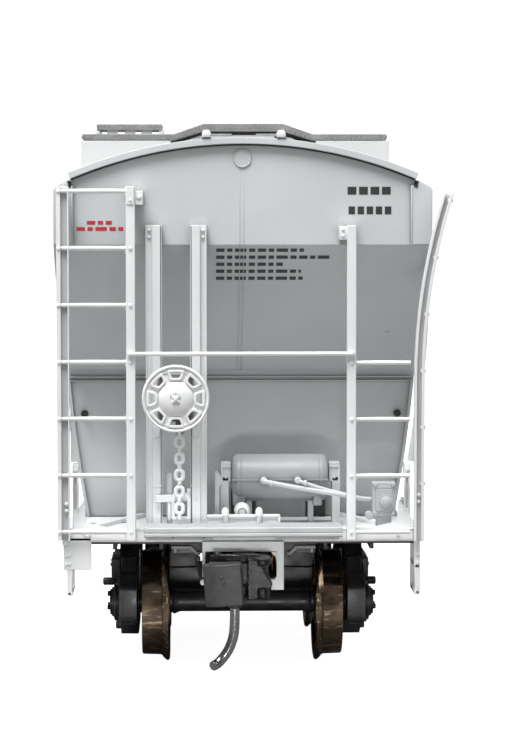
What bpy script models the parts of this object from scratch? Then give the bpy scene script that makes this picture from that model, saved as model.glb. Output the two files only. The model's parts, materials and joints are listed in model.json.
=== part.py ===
"""HO scale (1:87) model of a three-bay covered hopper car with smooth curved sides.

X runs across the car, -Y points to the brake (B) end and +Z is up. The origin is under the
middle of the car, level with the lowest points of the wheel flanges. Sizes are written in
millimetres, and MM turns them into metres. The A end is the B end turned half a turn.
"""

import math

import bmesh
import bpy
from mathutils import Matrix, Vector

MM = 0.001
GAP = 0.05  # between neighbouring pieces

# Running gear
TREAD_RADIUS = 5.25
FLANGE_RADIUS = 5.89
AXLE_Z = FLANGE_RADIUS
AXLE_RADIUS = 1.1
AXLE_HALF_LENGTH = 12.1
WHEEL_INNER_X = 7.2
WHEEL_OUTER_X = 10.0
TRUCK_Y = 78.0
AXLE_SPACING = 20.4
FRAME_INNER_X = 10.4
FRAME_OUTER_X = 12.2
CAP_OUTER_X = 13.4
BOLSTER_TOP_Z = 8.65
TRUCK_SCREW_RADIUS = 0.8

# Lengthwise places, as distances from the middle
COUPLER_FACE_Y = 105.0
COUPLER_PIVOT_Y = 92.0
STRIKER_Y = 99.6
END_SILL_Y = 99.0
ROOF_END_Y = 97.6
END_PANEL_Y = 97.0
BULKHEAD_Y = 84.0
POCKET_BACK_Y = 88.0

# Body
HALF_WIDTH = 18.15
SIDE_RADIUS = 150.0
EAVES_Z = 47.3
CREASE_Z = 42.0
BODY_BOTTOM_Z = 14.05
WALL = 1.6
BAY_PITCH = 38.7
BAY_BOTTOM_Z = 6.2
ROOF_CROWN_Z = 52.35
ROOF_RADIUS = 43.4
ROOF_THICK = 0.65
ROOF_HALF_WIDTH = 16.9
SHOULDER_Z = 48.2
ROOF_GAP = 0.12

# Underframe
DECK_TOP_Z = 14.0
DECK_BOTTOM_Z = 13.3
END_SILL_TOP_Z = 14.6
DECK_HALF_WIDTH = 17.4
SILL_HALF_WIDTH = 3.87
SILL_BOTTOM_Z = 9.0
POCKET_HALF_WIDTH = 3.1
POCKET_ROOF_Z = 12.75
COUPLER_Z = 10.6

# Ladders
LADDER_Y = (-99.9, -99.1)
LADDER_PITCH = 5.39
TOP_RUNG_Z = 47.17
RUNG_THICK = 0.43
STILE_X = 17.42  # the side ladder's outer face below the bend
LEAN_Z = 29.0
LEAN_RADIUS = 60.0

# Hand brake
BRAKE_X = -6.55
BRAKE_Z = 27.35
BRAKE_RADIUS = 3.25
CHAIN_X = -6.06
PLATFORM_TOP_Z = 15.1

# Air brake
TANK_Z = 18.85
TANK_Y = -92.0
TANK_RADIUS = 2.33
TANK_X = (-1.1, 8.5)

# Roof walk
WALK_TOP_Z = 52.64
WALK_HIGH_Z = 53.65
WALK_THICK = 0.7

# Coupler knuckle pivot
KNUCKLE_X = -2.6
KNUCKLE_Y = -101.7


def clear_scene():
    for thing in list(bpy.data.objects):
        bpy.data.objects.remove(thing, do_unlink=True)


def material(name, colour, roughness, metallic=0.0):
    finish = bpy.data.materials.new(name)
    finish.use_nodes = True
    shader = finish.node_tree.nodes["Principled BSDF"]
    shader.inputs["Base Color"].default_value = (*colour, 1.0)
    shader.inputs["Roughness"].default_value = roughness
    shader.inputs["Metallic"].default_value = metallic
    finish.diffuse_color = (*colour, 1.0)
    return finish


# Solids, as bmeshes in millimetres ---------------------------------------------------------


def on_axis(axis, a, b, along):
    """The point with a and b in the plane across the axis, in the order x, y, z."""
    return {"X": (along, a, b), "Y": (a, along, b), "Z": (a, b, along)}[axis]


def bridge(bm, loops):
    """Skin neighbouring loops; a loop of one vertex is a tip."""
    for lower, upper in loops:
        count = max(len(lower), len(upper))
        for i in range(count):
            j = (i + 1) % count
            corners = [
                lower[i % len(lower)],
                lower[j % len(lower)],
                upper[j % len(upper)],
                upper[i % len(upper)],
            ]
            bm.faces.new(list(dict.fromkeys(corners)))


def outward(bm):
    bmesh.ops.recalc_face_normals(bm, faces=bm.faces)
    return bm


def prism(outline, axis, span):
    """An outline in the plane across the axis, extruded over the span along it."""
    bm = bmesh.new()
    ends = [[bm.verts.new(on_axis(axis, a, b, t)) for a, b in outline] for t in span]
    for end in ends:
        bm.faces.new(end)
    bridge(bm, [ends])
    return outward(bm)


def box(x, y, z):
    return prism([(x[0], y[0]), (x[1], y[0]), (x[1], y[1]), (x[0], y[1])], "Z", z)


def circle(centre, radius, segments):
    turn = 2 * math.pi / segments
    return [
        (centre[0] + radius * math.cos(i * turn), centre[1] + radius * math.sin(i * turn))
        for i in range(segments)
    ]


def cylinder(centre, radius, axis, span, segments=16):
    return prism(circle(centre, radius, segments), axis, span)


def turned(profile, axis, centre, segments=24, ring=False):
    """A solid of revolution from points of radius and distance along the axis."""
    bm = bmesh.new()
    loops = []
    for radius, along in profile:
        points = circle(centre, radius, segments) if radius else [centre]
        loops.append([bm.verts.new(on_axis(axis, a, b, along)) for a, b in points])
    pairs = list(zip(loops, loops[1:]))
    if ring:
        pairs.append((loops[-1], loops[0]))
    bridge(bm, pairs)
    return outward(bm)


def loft(levels, centre=(0.0, 0.0)):
    """A stack of rectangles of half width, half length and height."""
    bm = bmesh.new()
    loops = []
    for half_x, half_y, z in levels:
        corners = ((-half_x, -half_y), (half_x, -half_y), (half_x, half_y), (-half_x, half_y))
        loops.append([bm.verts.new((centre[0] + x, centre[1] + y, z)) for x, y in corners])
    bm.faces.new(loops[0])
    bm.faces.new(loops[-1])
    bridge(bm, zip(loops, loops[1:]))
    return outward(bm)


def rod(path, radius, segments=8):
    """A round rod along a path of points."""
    points = [Vector(point) for point in path]
    bm = bmesh.new()
    loops = []
    side = (points[1] - points[0]).orthogonal()
    for i, point in enumerate(points):
        before = points[max(i, 1)] - points[max(i, 1) - 1]
        after = points[min(i + 1, len(points) - 1)] - points[min(i, len(points) - 2)]
        along = (before.normalized() + after.normalized()).normalized()
        side = (side - along * side.dot(along)).normalized()
        other = along.cross(side)
        loops.append(
            [bm.verts.new(point + side * a + other * b) for a, b in circle((0, 0), radius, segments)]
        )
    bm.faces.new(loops[0])
    bm.faces.new(loops[-1])
    bridge(bm, zip(loops, loops[1:]))
    return outward(bm)


def mirrored(solids):
    """Copies of the solids on the other side of the car's centre line."""
    copies = []
    for solid in solids:
        copy = solid.copy()
        bmesh.ops.scale(copy, vec=(-1, 1, 1), verts=copy.verts)
        copies.append(outward(copy))
    return copies


def half_turned(solids):
    """Copies of the solids turned half a turn about the middle of the car."""
    copies = []
    for solid in solids:
        copy = solid.copy()
        bmesh.ops.rotate(copy, matrix=Matrix.Rotation(math.pi, 3, "Z"), verts=copy.verts)
        copies.append(copy)
    return copies


# Objects -----------------------------------------------------------------------------------


def helper(bm):
    mesh = bpy.data.meshes.new("helper")
    bm.to_mesh(mesh)
    bm.free()
    return bpy.data.objects.new("helper", mesh)


def joined(solids, cuts=()):
    """One mesh: the union of the solids, less the cuts."""
    base = helper(solids[0])
    bpy.context.scene.collection.objects.link(base)
    tools = []
    groups = []
    for operation, shapes in (("UNION", solids[1:]), ("DIFFERENCE", cuts)):
        if not shapes:
            continue
        group = bpy.data.collections.new("tools")
        bpy.context.scene.collection.children.link(group)
        for shape in shapes:
            tool = helper(shape)
            group.objects.link(tool)
            tools.append(tool)
        modifier = base.modifiers.new(operation, "BOOLEAN")
        modifier.operation = operation
        modifier.operand_type = "COLLECTION"
        modifier.collection = group
        modifier.solver = "EXACT"
        groups.append(group)
    depsgraph = bpy.context.evaluated_depsgraph_get()
    mesh = bpy.data.meshes.new_from_object(base.evaluated_get(depsgraph))
    for thing in [base, *tools]:
        bpy.data.objects.remove(thing, do_unlink=True)
    for group in groups:
        bpy.data.collections.remove(group)
    return mesh


def shaped(solids, finish, cuts=(), origin=(0, 0, 0)):
    """The mesh of a piece in metres, around its own origin."""
    mesh = joined(solids, cuts)
    mesh.transform(Matrix.Scale(MM, 4) @ Matrix.Translation(-Vector(origin)))
    mesh.materials.clear()
    mesh.materials.append(finish)
    mesh.shade_smooth()
    mesh.set_sharp_from_angle(angle=math.radians(35))
    return mesh


def put(name, mesh, origin=(0, 0, 0), parent=None):
    thing = bpy.data.objects.new(name, mesh)
    thing.location = Vector(origin) * MM
    thing.parent = parent
    bpy.context.scene.collection.objects.link(thing)
    return thing


def guide(name, origin=(0, 0, 0), parent=None, turn=0.0):
    """An empty that carries the pieces of one end or of one truck."""
    thing = put(name, None, origin, parent)
    thing.rotation_euler.z = turn
    return thing


def put_both(name, mesh, ends, origin=(0, 0, 0)):
    for letter, end in ends.items():
        put(f"{name}_{letter}", mesh, origin, end)


# Body and roof -----------------------------------------------------------------------------


def half_width(z):
    """Half the body's width: upright above the crease, an arc below it."""
    drop = max(0.0, CREASE_Z - z)
    return HALF_WIDTH - SIDE_RADIUS + math.sqrt(SIDE_RADIUS**2 - drop**2)


def half_length(z):
    """Half the body's length: end panel, slope sheet at 45 degrees, bulkhead."""
    return max(BULKHEAD_Y, min(END_PANEL_Y, END_PANEL_Y - (CREASE_Z - z)))


def roof_z(x, radius=ROOF_RADIUS):
    """Height of an arc that shares the roof's centre."""
    return ROOF_CROWN_Z - ROOF_RADIUS + math.sqrt(radius**2 - x**2)


def roof_arc(low_x, high_x, radius, steps):
    """Points along a roof arc, from the low to the high x."""
    points = []
    for i in range(steps + 1):
        x = low_x + (high_x - low_x) * i / steps
        points.append((x, roof_z(x, radius)))
    return points


def body_shell(white):
    slope_foot_z = CREASE_Z - (END_PANEL_Y - BULKHEAD_Y)
    heights = [BODY_BOTTOM_Z, 17.0, 21.0, 25.0, slope_foot_z, 33.0, 37.5, CREASE_Z, EAVES_Z]
    floor_z = 15.5
    outer = [(half_width(z), half_length(z), z) for z in heights]
    inner = [(half_width(z) - WALL, half_length(z) - WALL, z) for z in heights[1:-1]]
    top = inner[-1]
    inner = [(*inner[0][:2], floor_z), *inner[1:], (*top[:2], EAVES_Z + 1)]
    solids = [loft(outer)]
    for bay in (-1, 0, 1):
        levels = [(4.6, 3.4, BAY_BOTTOM_Z), (13.0, 17.6, 14.6)]
        solids.append(loft(levels, (0.0, bay * BAY_PITCH)))
    arch_half = 16.2
    arch_radius = ROOF_RADIUS - ROOF_THICK - ROOF_GAP
    arch = roof_arc(-arch_half, arch_half, arch_radius, 18) + [(arch_half, 45.5), (-arch_half, 45.5)]
    end = [prism(arch, "Y", (-END_PANEL_Y - 0.02, -END_PANEL_Y + WALL + 0.1))]
    for side in (-1, 1):
        strip = sorted((side * 15.8, side * (HALF_WIDTH - 0.1)))
        strip_z = (CREASE_Z + 0.1, EAVES_Z - 0.1)
        end.append(box(strip, (-END_PANEL_Y - 0.4, -END_PANEL_Y + 1), strip_z))
    fold_x = half_width(slope_foot_z) - 0.3
    end.append(box((-fold_x, fold_x), (-BULKHEAD_Y - 0.25, -BULKHEAD_Y + 1), (28.2, 28.75)))
    end.append(cylinder((-0.2, 50.3), 0.95, "Y", (-END_PANEL_Y - 0.25, -END_PANEL_Y + 0.5)))
    shoulder = [
        (15.6, EAVES_Z - 0.8),
        (HALF_WIDTH - 0.1, EAVES_Z - 0.8),
        (HALF_WIDTH - 0.2, EAVES_Z + 0.02),
        (ROOF_HALF_WIDTH, SHOULDER_Z),
        (15.6, SHOULDER_Z),
    ]
    ridge = prism(shoulder, "Y", (-END_PANEL_Y + 0.1, END_PANEL_Y - 0.1))
    solids += [ridge, *mirrored([ridge])] + end + half_turned(end)
    put("body_shell", shaped(solids, white, cuts=[loft(inner)]))


def roof(white):
    outer = roof_arc(-ROOF_HALF_WIDTH, ROOF_HALF_WIDTH, ROOF_RADIUS, 22)
    inner_half = ROOF_HALF_WIDTH - 0.3
    inner = roof_arc(inner_half, -inner_half, ROOF_RADIUS - ROOF_THICK, 22)
    put("roof", shaped([prism(outer + inner, "Y", (-ROOF_END_Y, ROOF_END_Y))], white))


def hatch_covers(white):
    """Three long covers over the loading trough, with a raised middle and end ribs."""
    half, length, top_z = 5.2, 57.0, 53.3
    foot = roof_arc(-half, half, ROOF_RADIUS + GAP, 6)
    outline = foot + [(half, 52.6), (half - 0.9, top_z), (0.9 - half, top_z), (-half, 52.6)]
    rib = foot + [(half, 52.75), (half - 0.8, 53.42), (0.8 - half, 53.42), (-half, 52.75)]
    reach = length / 2 - 0.5
    solids = [prism(outline, "Y", (-reach, reach))]
    for y in (-26.0, -9.0, 9.0, 26.0):
        solids.append(prism(rib, "Y", (y - 0.5, y + 0.5)))
    mesh = shaped(solids, white)
    for number, place in enumerate((-1, 0, 1), start=1):
        put(f"hatch_cover_{number}", mesh, (0, place * length, 0))


def running_boards(grating):
    inner_x, outer_x, reach = 7.6, 13.8, 88.0
    solids = [box((inner_x, outer_x), (-reach, reach), (52.2, 52.64))]
    feet = [(x, roof_z(x, ROOF_RADIUS + GAP)) for x in (inner_x + 0.5, 10.7, outer_x - 0.5)]
    bracket = feet + [(outer_x - 0.5, 52.4), (inner_x + 0.5, 52.4)]
    brackets = 8
    for i in range(brackets):
        y = -reach + 4 + i * (2 * reach - 8) / (brackets - 1)
        solids.append(prism(bracket, "Y", (y - 0.25, y + 0.25)))
    mesh = shaped(solids, grating)
    put("running_board_right", mesh)
    board = put("running_board_left", mesh)
    board.rotation_euler.z = math.pi


def roof_crosswalks(grating, ends):
    """The stepped walk across the end of the roof, on webs and rounded legs."""
    left, right = -15.6, 13.9
    high, flat = 3.8, 6.7
    top = [
        (left, WALK_TOP_Z),
        (-flat, WALK_TOP_Z),
        (-high, WALK_HIGH_Z),
        (high, WALK_HIGH_Z),
        (flat, WALK_TOP_Z),
        (right, WALK_TOP_Z),
    ]
    under = [(x, z - WALK_THICK) for x, z in reversed(top)]
    solids = [prism(top + under, "Y", (-97.5, -90.5))]
    for low, high_x in ((left, -7.2), (7.2, right)):
        web = roof_arc(low, high_x, ROOF_RADIUS + GAP, 5) + [(high_x, 52.3), (low, 52.3)]
        for y in (-97.2, -91.2):
            solids.append(prism(web, "Y", (y, y + 0.4)))
    for x in (-3.6, 3.6):
        foot = roof_z(abs(x) + 0.45) + 0.2
        solids.append(box((x - 0.45, x + 0.45), (-97.0, -91.0), (foot, WALK_HIGH_Z - 0.5)))
    solids.append(box((-14.1, -7.8), (-97.4, -92.4), (52.95, 53.5)))
    for x in (-13.2, -8.7):
        solids.append(box((x - 0.3, x + 0.3), (-96.5, -93.5), (52.5, 53.1)))
    put_both("roof_crosswalk", shaped(solids, grating), ends)


# Underframe --------------------------------------------------------------------------------


def sill_step():
    """A stirrup under the right-hand corner, with its bolting plate on the end sill."""
    x = (16.5, 17.1)
    front, back, foot_z = -98.95, -94.0, 8.1
    return [
        box((16.2, 17.1), (front, front + 0.6), (11.4, DECK_BOTTOM_Z + 0.5)),
        box(x, (front, front + 0.6), (foot_z, DECK_BOTTOM_Z + 0.5)),
        box(x, (back - 0.6, back), (foot_z, DECK_BOTTOM_Z + 0.5)),
        box((16.4, 17.1), (front, back), (foot_z, foot_z + 0.4)),
    ]


def end_frame():
    """Everything of the underframe that belongs to the B end."""
    rail = SILL_HALF_WIDTH
    across = (-DECK_HALF_WIDTH, DECK_HALF_WIDTH)
    solids = [
        box(across, (-END_SILL_Y + 0.2, -83.0), (DECK_BOTTOM_Z, DECK_TOP_Z)),
        box(across, (-END_SILL_Y, -98.2), (DECK_BOTTOM_Z + 0.1, END_SILL_TOP_Z)),
        box((-rail, rail), (-END_SILL_Y + 0.1, -60.0), (SILL_BOTTOM_Z, DECK_BOTTOM_Z + 0.3)),
        box((-4.0, 3.85), (-STRIKER_Y, -98.5), (8.7, DECK_BOTTOM_Z + 0.25)),
        box((-13.0, 13.0), (-80.5, -75.5), (12.7, DECK_BOTTOM_Z + 0.2)),
        cylinder((0, -TRUCK_Y), 3.0, "Z", (8.75, SILL_BOTTOM_Z + 0.2), 20),
        box((-17.4, -14.7), (-END_SILL_Y + 0.05, -98.5), (10.6, DECK_BOTTOM_Z + 0.4)),
        *sill_step(),
        *mirrored(sill_step()),
    ]
    brace = [(16.0, -97.6), (16.6, -97.0), (10.4, -84.2), (9.6, -84.2)]
    solids.append(prism(brace, "Z", (DECK_TOP_Z - 0.2, DECK_TOP_Z + 0.35)))
    solids.append(prism([(-x, y) for x, y in brace], "Z", (DECK_TOP_Z - 0.2, DECK_TOP_Z + 0.35)))
    return solids


def underframe(white):
    rails = [
        box((-15.0, 15.0), (-83.5, -57.5), (DECK_BOTTOM_Z, DECK_TOP_Z)),
        box((-15.0, 15.0), (57.5, 83.5), (DECK_BOTTOM_Z, DECK_TOP_Z)),
        box((13.4, 15.0), (-58.0, 58.0), (DECK_BOTTOM_Z - 0.5, DECK_TOP_Z)),
        box((-15.0, -13.4), (-58.0, 58.0), (DECK_BOTTOM_Z - 0.5, DECK_TOP_Z)),
    ]
    pocket_x = (-POCKET_HALF_WIDTH, POCKET_HALF_WIDTH)
    cuts = [
        box(pocket_x, (-STRIKER_Y - 1, -POCKET_BACK_Y), (8.0, POCKET_ROOF_Z)),
        cylinder((0, -COUPLER_PIVOT_Y), 0.72, "Z", (POCKET_ROOF_Z - 0.5, 13.6), 12),
        cylinder((0, -TRUCK_Y), TRUCK_SCREW_RADIUS + 0.03, "Z", (8.0, 12.0), 12),
    ]
    end = end_frame()
    solids = rails + end + half_turned(end)
    put("underframe", shaped(solids, white, cuts=cuts + half_turned(cuts)))


def outlet_gates(white):
    """Sliding gate frames under the bays, each with its rack and a capstan at both sides."""
    top = BAY_BOTTOM_Z - GAP
    solids = [
        box((-6.4, 6.4), (-4.6, 4.6), (top - 0.9, top)),
        box((-3.6, 3.6), (-6.4, 6.4), (top - 0.75, top - 0.35)),
        cylinder((6.0, top - 1.0), 0.35, "X", (-9.6, 9.6), 10),
        cylinder((6.0, top - 1.0), 0.75, "X", (8.6, 9.4), 8),
        cylinder((6.0, top - 1.0), 0.75, "X", (-9.4, -8.6), 8),
    ]
    mesh = shaped(solids, white)
    for number, place in enumerate((-1, 0, 1), start=1):
        put(f"outlet_gate_{number}", mesh, (0, place * BAY_PITCH, 0))


def ballast_weight(steel):
    put("ballast_weight", shaped([box((-12.5, 12.5), (-60.0, 60.0), (15.6, 18.6))], steel))


# Ladders and platforms ---------------------------------------------------------------------


def angle_post(outer_x, step_x, inner_x, y_front, y_back, z):
    """An upright whose outer strip lies back from its inner face."""
    recess = y_front + 0.55
    outline = [
        (outer_x, recess),
        (step_x, recess),
        (step_x, y_front),
        (inner_x, y_front),
        (inner_x, y_back),
        (outer_x, y_back),
    ]
    return prism(outline, "Z", z)


def rung(x, z, y_front=LADDER_Y[0] + 0.1):
    return box(x, (y_front, y_front + RUNG_THICK), (z - RUNG_THICK / 2, z + RUNG_THICK / 2))


def left_end_ladder(white, ends):
    front, back = LADDER_Y
    panel = -END_PANEL_Y - GAP
    z = (13.6, 47.6)
    solids = [
        angle_post(-16.8, -17.5, -17.95, front, back, z),
        box((-11.3, -10.4), (front, back), z),
        box((-10.6, -9.6), (front + 0.3, panel), (45.9, 47.2)),
        box((-11.2, -10.5), (back - 0.1, panel), (45.9, 47.2)),
        box((-17.6, -17.0), (back - 0.1, panel - 0.4), (45.2, 46.6)),
    ]
    for number in range(7):
        solids.append(rung((-17.6, -10.8), TOP_RUNG_Z - number * LADDER_PITCH))
    put_both("end_ladder_left", shaped(solids, white), ends)


def right_end_ladder(white, ends):
    """The short ladder, with the handrail that runs across to the left ladder."""
    front, back = LADDER_Y
    panel = -END_PANEL_Y - GAP
    rail_z = (31.45, 31.95)
    solids = [
        box((9.95, 10.9), (front, back), (13.6, 43.9)),
        box((9.2, 10.1), (front + 0.3, panel), (42.5, 43.8)),
        box((10.0, 10.8), (back - 0.1, panel), (42.5, 43.8)),
        box((-10.9, 10.5), (front - 0.5, front - GAP), rail_z),
        box((10.1, 10.7), (front - 0.3, front + 0.2), rail_z),
    ]
    for number in range(3, 7):
        solids.append(rung((10.8, 16.05), TOP_RUNG_Z - 0.1 - number * LADDER_PITCH))
    put_both("end_ladder_right", shaped(solids, white), ends)


def stile_x(z):
    """The outer face of the side ladder's stiles: upright, then leaning out towards the roof."""
    rise = max(0.0, z - LEAN_Z)
    return STILE_X + LEAN_RADIUS - math.sqrt(LEAN_RADIUS**2 - rise**2)


def stile(depth, y, foot_z):
    """A bent upright of the side ladder with a rounded top."""
    heights = [foot_z, LEAN_Z, 33.0, 36.5, 39.5, 42.0, 44.5, 46.5]
    outer = [(stile_x(z), z) for z in heights]
    inner = [(stile_x(z) - depth, z) for z in reversed(heights)]
    tip_z = 47.2
    tip_x = stile_x(tip_z)
    tip = [(tip_x - depth / 4, tip_z), (tip_x - 3 * depth / 4, tip_z)]
    return prism(outer + tip + inner, "Y", y)


def side_ladder(white, ends):
    """Two bent stiles with rungs along the side, held off the body by a bracket."""
    rear_y = (-95.7, -95.0)
    solids = [stile(0.95, LADDER_Y, 13.4), stile(0.28, rear_y, DECK_TOP_Z + GAP)]
    for number in range(6):
        z = TOP_RUNG_Z - 0.9 - number * LADDER_PITCH
        x = (stile_x(z) - 0.42, stile_x(z) - 0.02)
        solids.append(box(x, (LADDER_Y[0] + 0.2, rear_y[1] - 0.1), (z - 0.2, z + 0.2)))
    z = 41.3
    arm = (HALF_WIDTH + GAP, stile_x(z) - 0.15)
    solids.append(box(arm, (rear_y[0] - 0.2, rear_y[1]), (z - 0.3, z + 0.3)))
    put_both("side_ladder", shaped(solids, white), ends)


def crossover_platforms(grating, ends):
    back = -END_SILL_Y - GAP
    front = -102.2
    x = (-9.6, 9.4)
    lip_z = (PLATFORM_TOP_Z - 0.95, PLATFORM_TOP_Z - 0.2)
    solids = [
        box(x, (front, back), (PLATFORM_TOP_Z - 0.55, PLATFORM_TOP_Z)),
        box(x, (front, front + 0.5), lip_z),
        box((x[0], x[0] + 0.5), (front, back), lip_z),
        box((x[1] - 0.5, x[1]), (front, back), lip_z),
    ]
    for centre in (-8.0, -3.0, 3.0, 8.0):
        solids.append(box((centre - 0.7, centre + 0.7), (back - 1.2, back), (13.6, 14.8)))
    put_both("crossover_platform", shaped(solids, grating), ends)


# Hand brake --------------------------------------------------------------------------------


def brake_stand(white):
    """Two channel posts from the deck to the end panel, tied behind the gear housing."""
    front, back = -98.15, -97.4
    z = (DECK_TOP_Z + GAP, 43.9)
    solids = [
        angle_post(-9.44, -8.87, -7.92, front, back, z),
        angle_post(-3.56, -4.2, -5.17, front, back, z),
        box((-9.4, -3.6), (back - 0.3, back), (25.2, 29.6)),
    ]
    for x in ((-9.44, -7.92), (-5.17, -3.56)):
        solids.append(box(x, (back - 0.2, -END_PANEL_Y - GAP), (42.3, 43.9)))
    put("brake_stand", shaped(solids, white))


def brake_housing(white):
    solids = [
        box((-8.7, -4.4), (-99.4, -98.2), (24.2, 30.2)),
        cylinder((BRAKE_X, BRAKE_Z), 1.7, "Y", (-99.9, -99.0), 20),
        box((-6.9, -5.2), (-99.6, -98.3), (23.9, 25.0)),
    ]
    shaft_hole = cylinder((BRAKE_X, BRAKE_Z), 0.45, "Y", (-100.5, -98.7), 12)
    put("brake_housing", shaped(solids, white, cuts=[shaft_hole]))


def brake_wheel(white):
    """A dished wheel with eight windows and a stub shaft that turns in the housing."""
    back = -100.35
    profile = [
        (0.0, -99.0),
        (0.4, -99.0),
        (0.4, back),
        (BRAKE_RADIUS - 0.1, back),
        (BRAKE_RADIUS, back - 0.3),
        (BRAKE_RADIUS - 0.1, back - 0.65),
        (BRAKE_RADIUS - 0.45, back - 0.65),
        (BRAKE_RADIUS - 0.6, back - 0.4),
        (1.75, back - 0.4),
        (1.3, back - 0.8),
        (0.5, back - 0.9),
        (0.5, back - 1.1),
        (0.0, back - 1.1),
    ]
    wheel = turned(profile, "Y", (BRAKE_X, BRAKE_Z), 32)
    cuts = []
    for number in range(8):
        angle = number * math.pi / 4
        corners = [(1.9, -0.36), (1.9, 0.36), (2.6, 0.62), (2.6, -0.62)]
        turn = Matrix.Rotation(angle, 2)
        window = [turn @ Vector(corner) + Vector((BRAKE_X, BRAKE_Z)) for corner in corners]
        cuts.append(prism([tuple(corner) for corner in window], "Y", (back - 1, back + 1)))
    origin = (BRAKE_X, back, BRAKE_Z)
    put("brake_wheel", shaped([wheel], white, cuts=cuts, origin=origin), origin)


def chain_link(z, half_height=0.78, half_width_x=0.48, wire=0.24):
    """A flat link: a rounded ring, as a solid of eight corners with its opening cut later."""
    outline = []
    for side, x in ((1, half_width_x), (-1, -half_width_x)):
        outline.append((CHAIN_X + x, z - side * (half_height - 0.28)))
        outline.append((CHAIN_X + x, z + side * (half_height - 0.28)))
        outline.append((CHAIN_X + x * 0.45, z + side * half_height))
        outline.append((CHAIN_X - x * 0.45, z + side * half_height))
    opening_x = half_width_x - wire
    opening_z = half_height - wire
    hole = box(
        (CHAIN_X - opening_x, CHAIN_X + opening_x), (-101, -98), (z - opening_z, z + opening_z)
    )
    return prism(outline, "Y", (-99.55, -99.25)), hole


def brake_chain(white):
    """A moulded chain: flat links joined by short links seen on edge."""
    pitch, links = 1.68, 5
    first_z = 23.05
    solids = []
    cuts = []
    for number in range(links):
        z = first_z - number * pitch
        link, hole = chain_link(z)
        solids.append(link)
        cuts.append(hole)
        if number < links - 1:
            solids.append(box((CHAIN_X - 0.12, CHAIN_X + 0.12), (-99.7, -99.1), (z - 1.3, z - 0.6)))
    put("brake_chain", shaped(solids, white, cuts=cuts))


# Air brake ---------------------------------------------------------------------------------


def air_reservoir(white):
    low, high = TANK_X
    dome = 0.55
    profile = [
        (0.0, low),
        (TANK_RADIUS - 0.55, low),
        (TANK_RADIUS - 0.12, low + dome * 0.4),
        (TANK_RADIUS, low + dome),
        (TANK_RADIUS, high - dome),
        (TANK_RADIUS - 0.12, high - dome * 0.4),
        (TANK_RADIUS - 0.55, high),
        (0.0, high),
    ]
    tank = turned(profile, "X", (TANK_Y, TANK_Z), 28)
    seam = box((low + 0.1, high - 0.1), (TANK_Y - TANK_RADIUS - 0.12, TANK_Y), (TANK_Z - 0.1, TANK_Z + 0.1))
    put("air_reservoir", shaped([tank, seam], white))


def reservoir_bracket(white):
    """A base on the deck with an upright at each end of the tank and two saddles under it."""
    low, high = TANK_X
    y = (TANK_Y - 0.8, TANK_Y + 0.8)
    foot = DECK_TOP_Z + GAP
    solids = [box((low - 1.05, high + 1.05), y, (foot, foot + 0.4))]
    for x in ((low - 1.05, low - GAP), (high + GAP, high + 1.05)):
        solids.append(box(x, y, (foot, TANK_Z + 1.6)))
    for x in (0.2, 6.4):
        solids.append(box((x, x + 0.8), y, (foot, TANK_Z - TANK_RADIUS - GAP)))
    put("reservoir_bracket", shaped(solids, white))


def control_valve(white):
    foot = DECK_TOP_Z + 0.4
    x = (12.6, 14.9)
    y = (-96.9, -95.2)
    solids = [
        box(x, y, (15.5, 18.8)),
        box((13.0, 14.5), (-96.6, -95.4), (foot, 15.8)),
        cylinder((13.9, 17.0), 0.62, "Y", (y[0] - 0.45, y[0] + 0.3), 14),
        cylinder((12.4, 15.6), 0.4, "Y", (y[0] + 0.1, y[0] + 1.2), 10),
    ]
    for cx in (12.85, 14.65):
        for cz in (15.75, 18.55):
            solids.append(cylinder((cx, cz), 0.2, "Y", (y[0] - 0.2, y[0] + 0.3), 6))
    put("control_valve", shaped(solids, white))


def reservoir_pipes(white):
    """Two pipes off the tank's seam that meet and run on to the control valve."""
    start_y = TANK_Y - TANK_RADIUS - 0.12 - GAP
    radius = 0.23
    meet = (9.6, -95.6, 17.5)
    long_pipe = [
        (2.1, start_y, TANK_Z),
        (2.15, start_y - 0.55, TANK_Z),
        (2.7, start_y - 0.8, TANK_Z - 0.2),
        meet,
        (11.6, -95.9, 17.15),
        (12.6 - GAP, -96.0, 17.1),
    ]
    short_pipe = [
        (5.5, start_y, TANK_Z),
        (5.55, start_y - 0.5, TANK_Z),
        (6.1, start_y - 0.7, TANK_Z - 0.2),
        (9.9, -95.6, 17.5),
    ]
    solids = [rod(long_pipe, radius), rod(short_pipe, radius)]
    put("reservoir_pipes", shaped(solids, white))


# Trucks ------------------------------------------------------------------------------------


def side_frame():
    """The right-hand sideframe: solid casting, windows to be cut, bearing caps and springs."""
    half = [(13.8, 4.4), (13.8, 7.9), (11.6, 8.8), (6.2, 12.0), (4.6, 12.4)]
    foot = [(4.6, 1.7), (8.0, 3.3), (10.9, 4.0)]
    outline = foot + half
    outline = outline + [(-y, z) for y, z in reversed(outline)]
    outline = [(y - TRUCK_Y, z) for y, z in outline]
    solids = [prism(outline, "X", (FRAME_INNER_X, FRAME_OUTER_X))]
    for y in (-AXLE_SPACING / 2, AXLE_SPACING / 2):
        centre = (y - TRUCK_Y, AXLE_Z)
        solids.append(cylinder(centre, 1.9, "X", (FRAME_OUTER_X - 0.2, 12.9), 12))
        solids.append(cylinder(centre, 1.3, "X", (12.8, CAP_OUTER_X), 10))
    for y in (-2.0, 0.0, 2.0):
        centre = (11.5, y - TRUCK_Y)
        solids.append(cylinder(centre, 0.85, "Z", (2.6, 7.4), 10))
    solids.append(box((11.2, 13.0), (-TRUCK_Y - 2.6, -TRUCK_Y + 2.6), (7.2, 9.4)))
    windows = []
    for side in (-1, 1):
        corners = [(5.0, 4.6), (8.2, 5.2), (8.0, 8.2), (5.0, 9.8)]
        corners = [(side * y - TRUCK_Y, z) for y, z in corners]
        windows.append(prism(corners, "X", (FRAME_INNER_X - 1, FRAME_OUTER_X + 1)))
    return solids, windows


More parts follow.
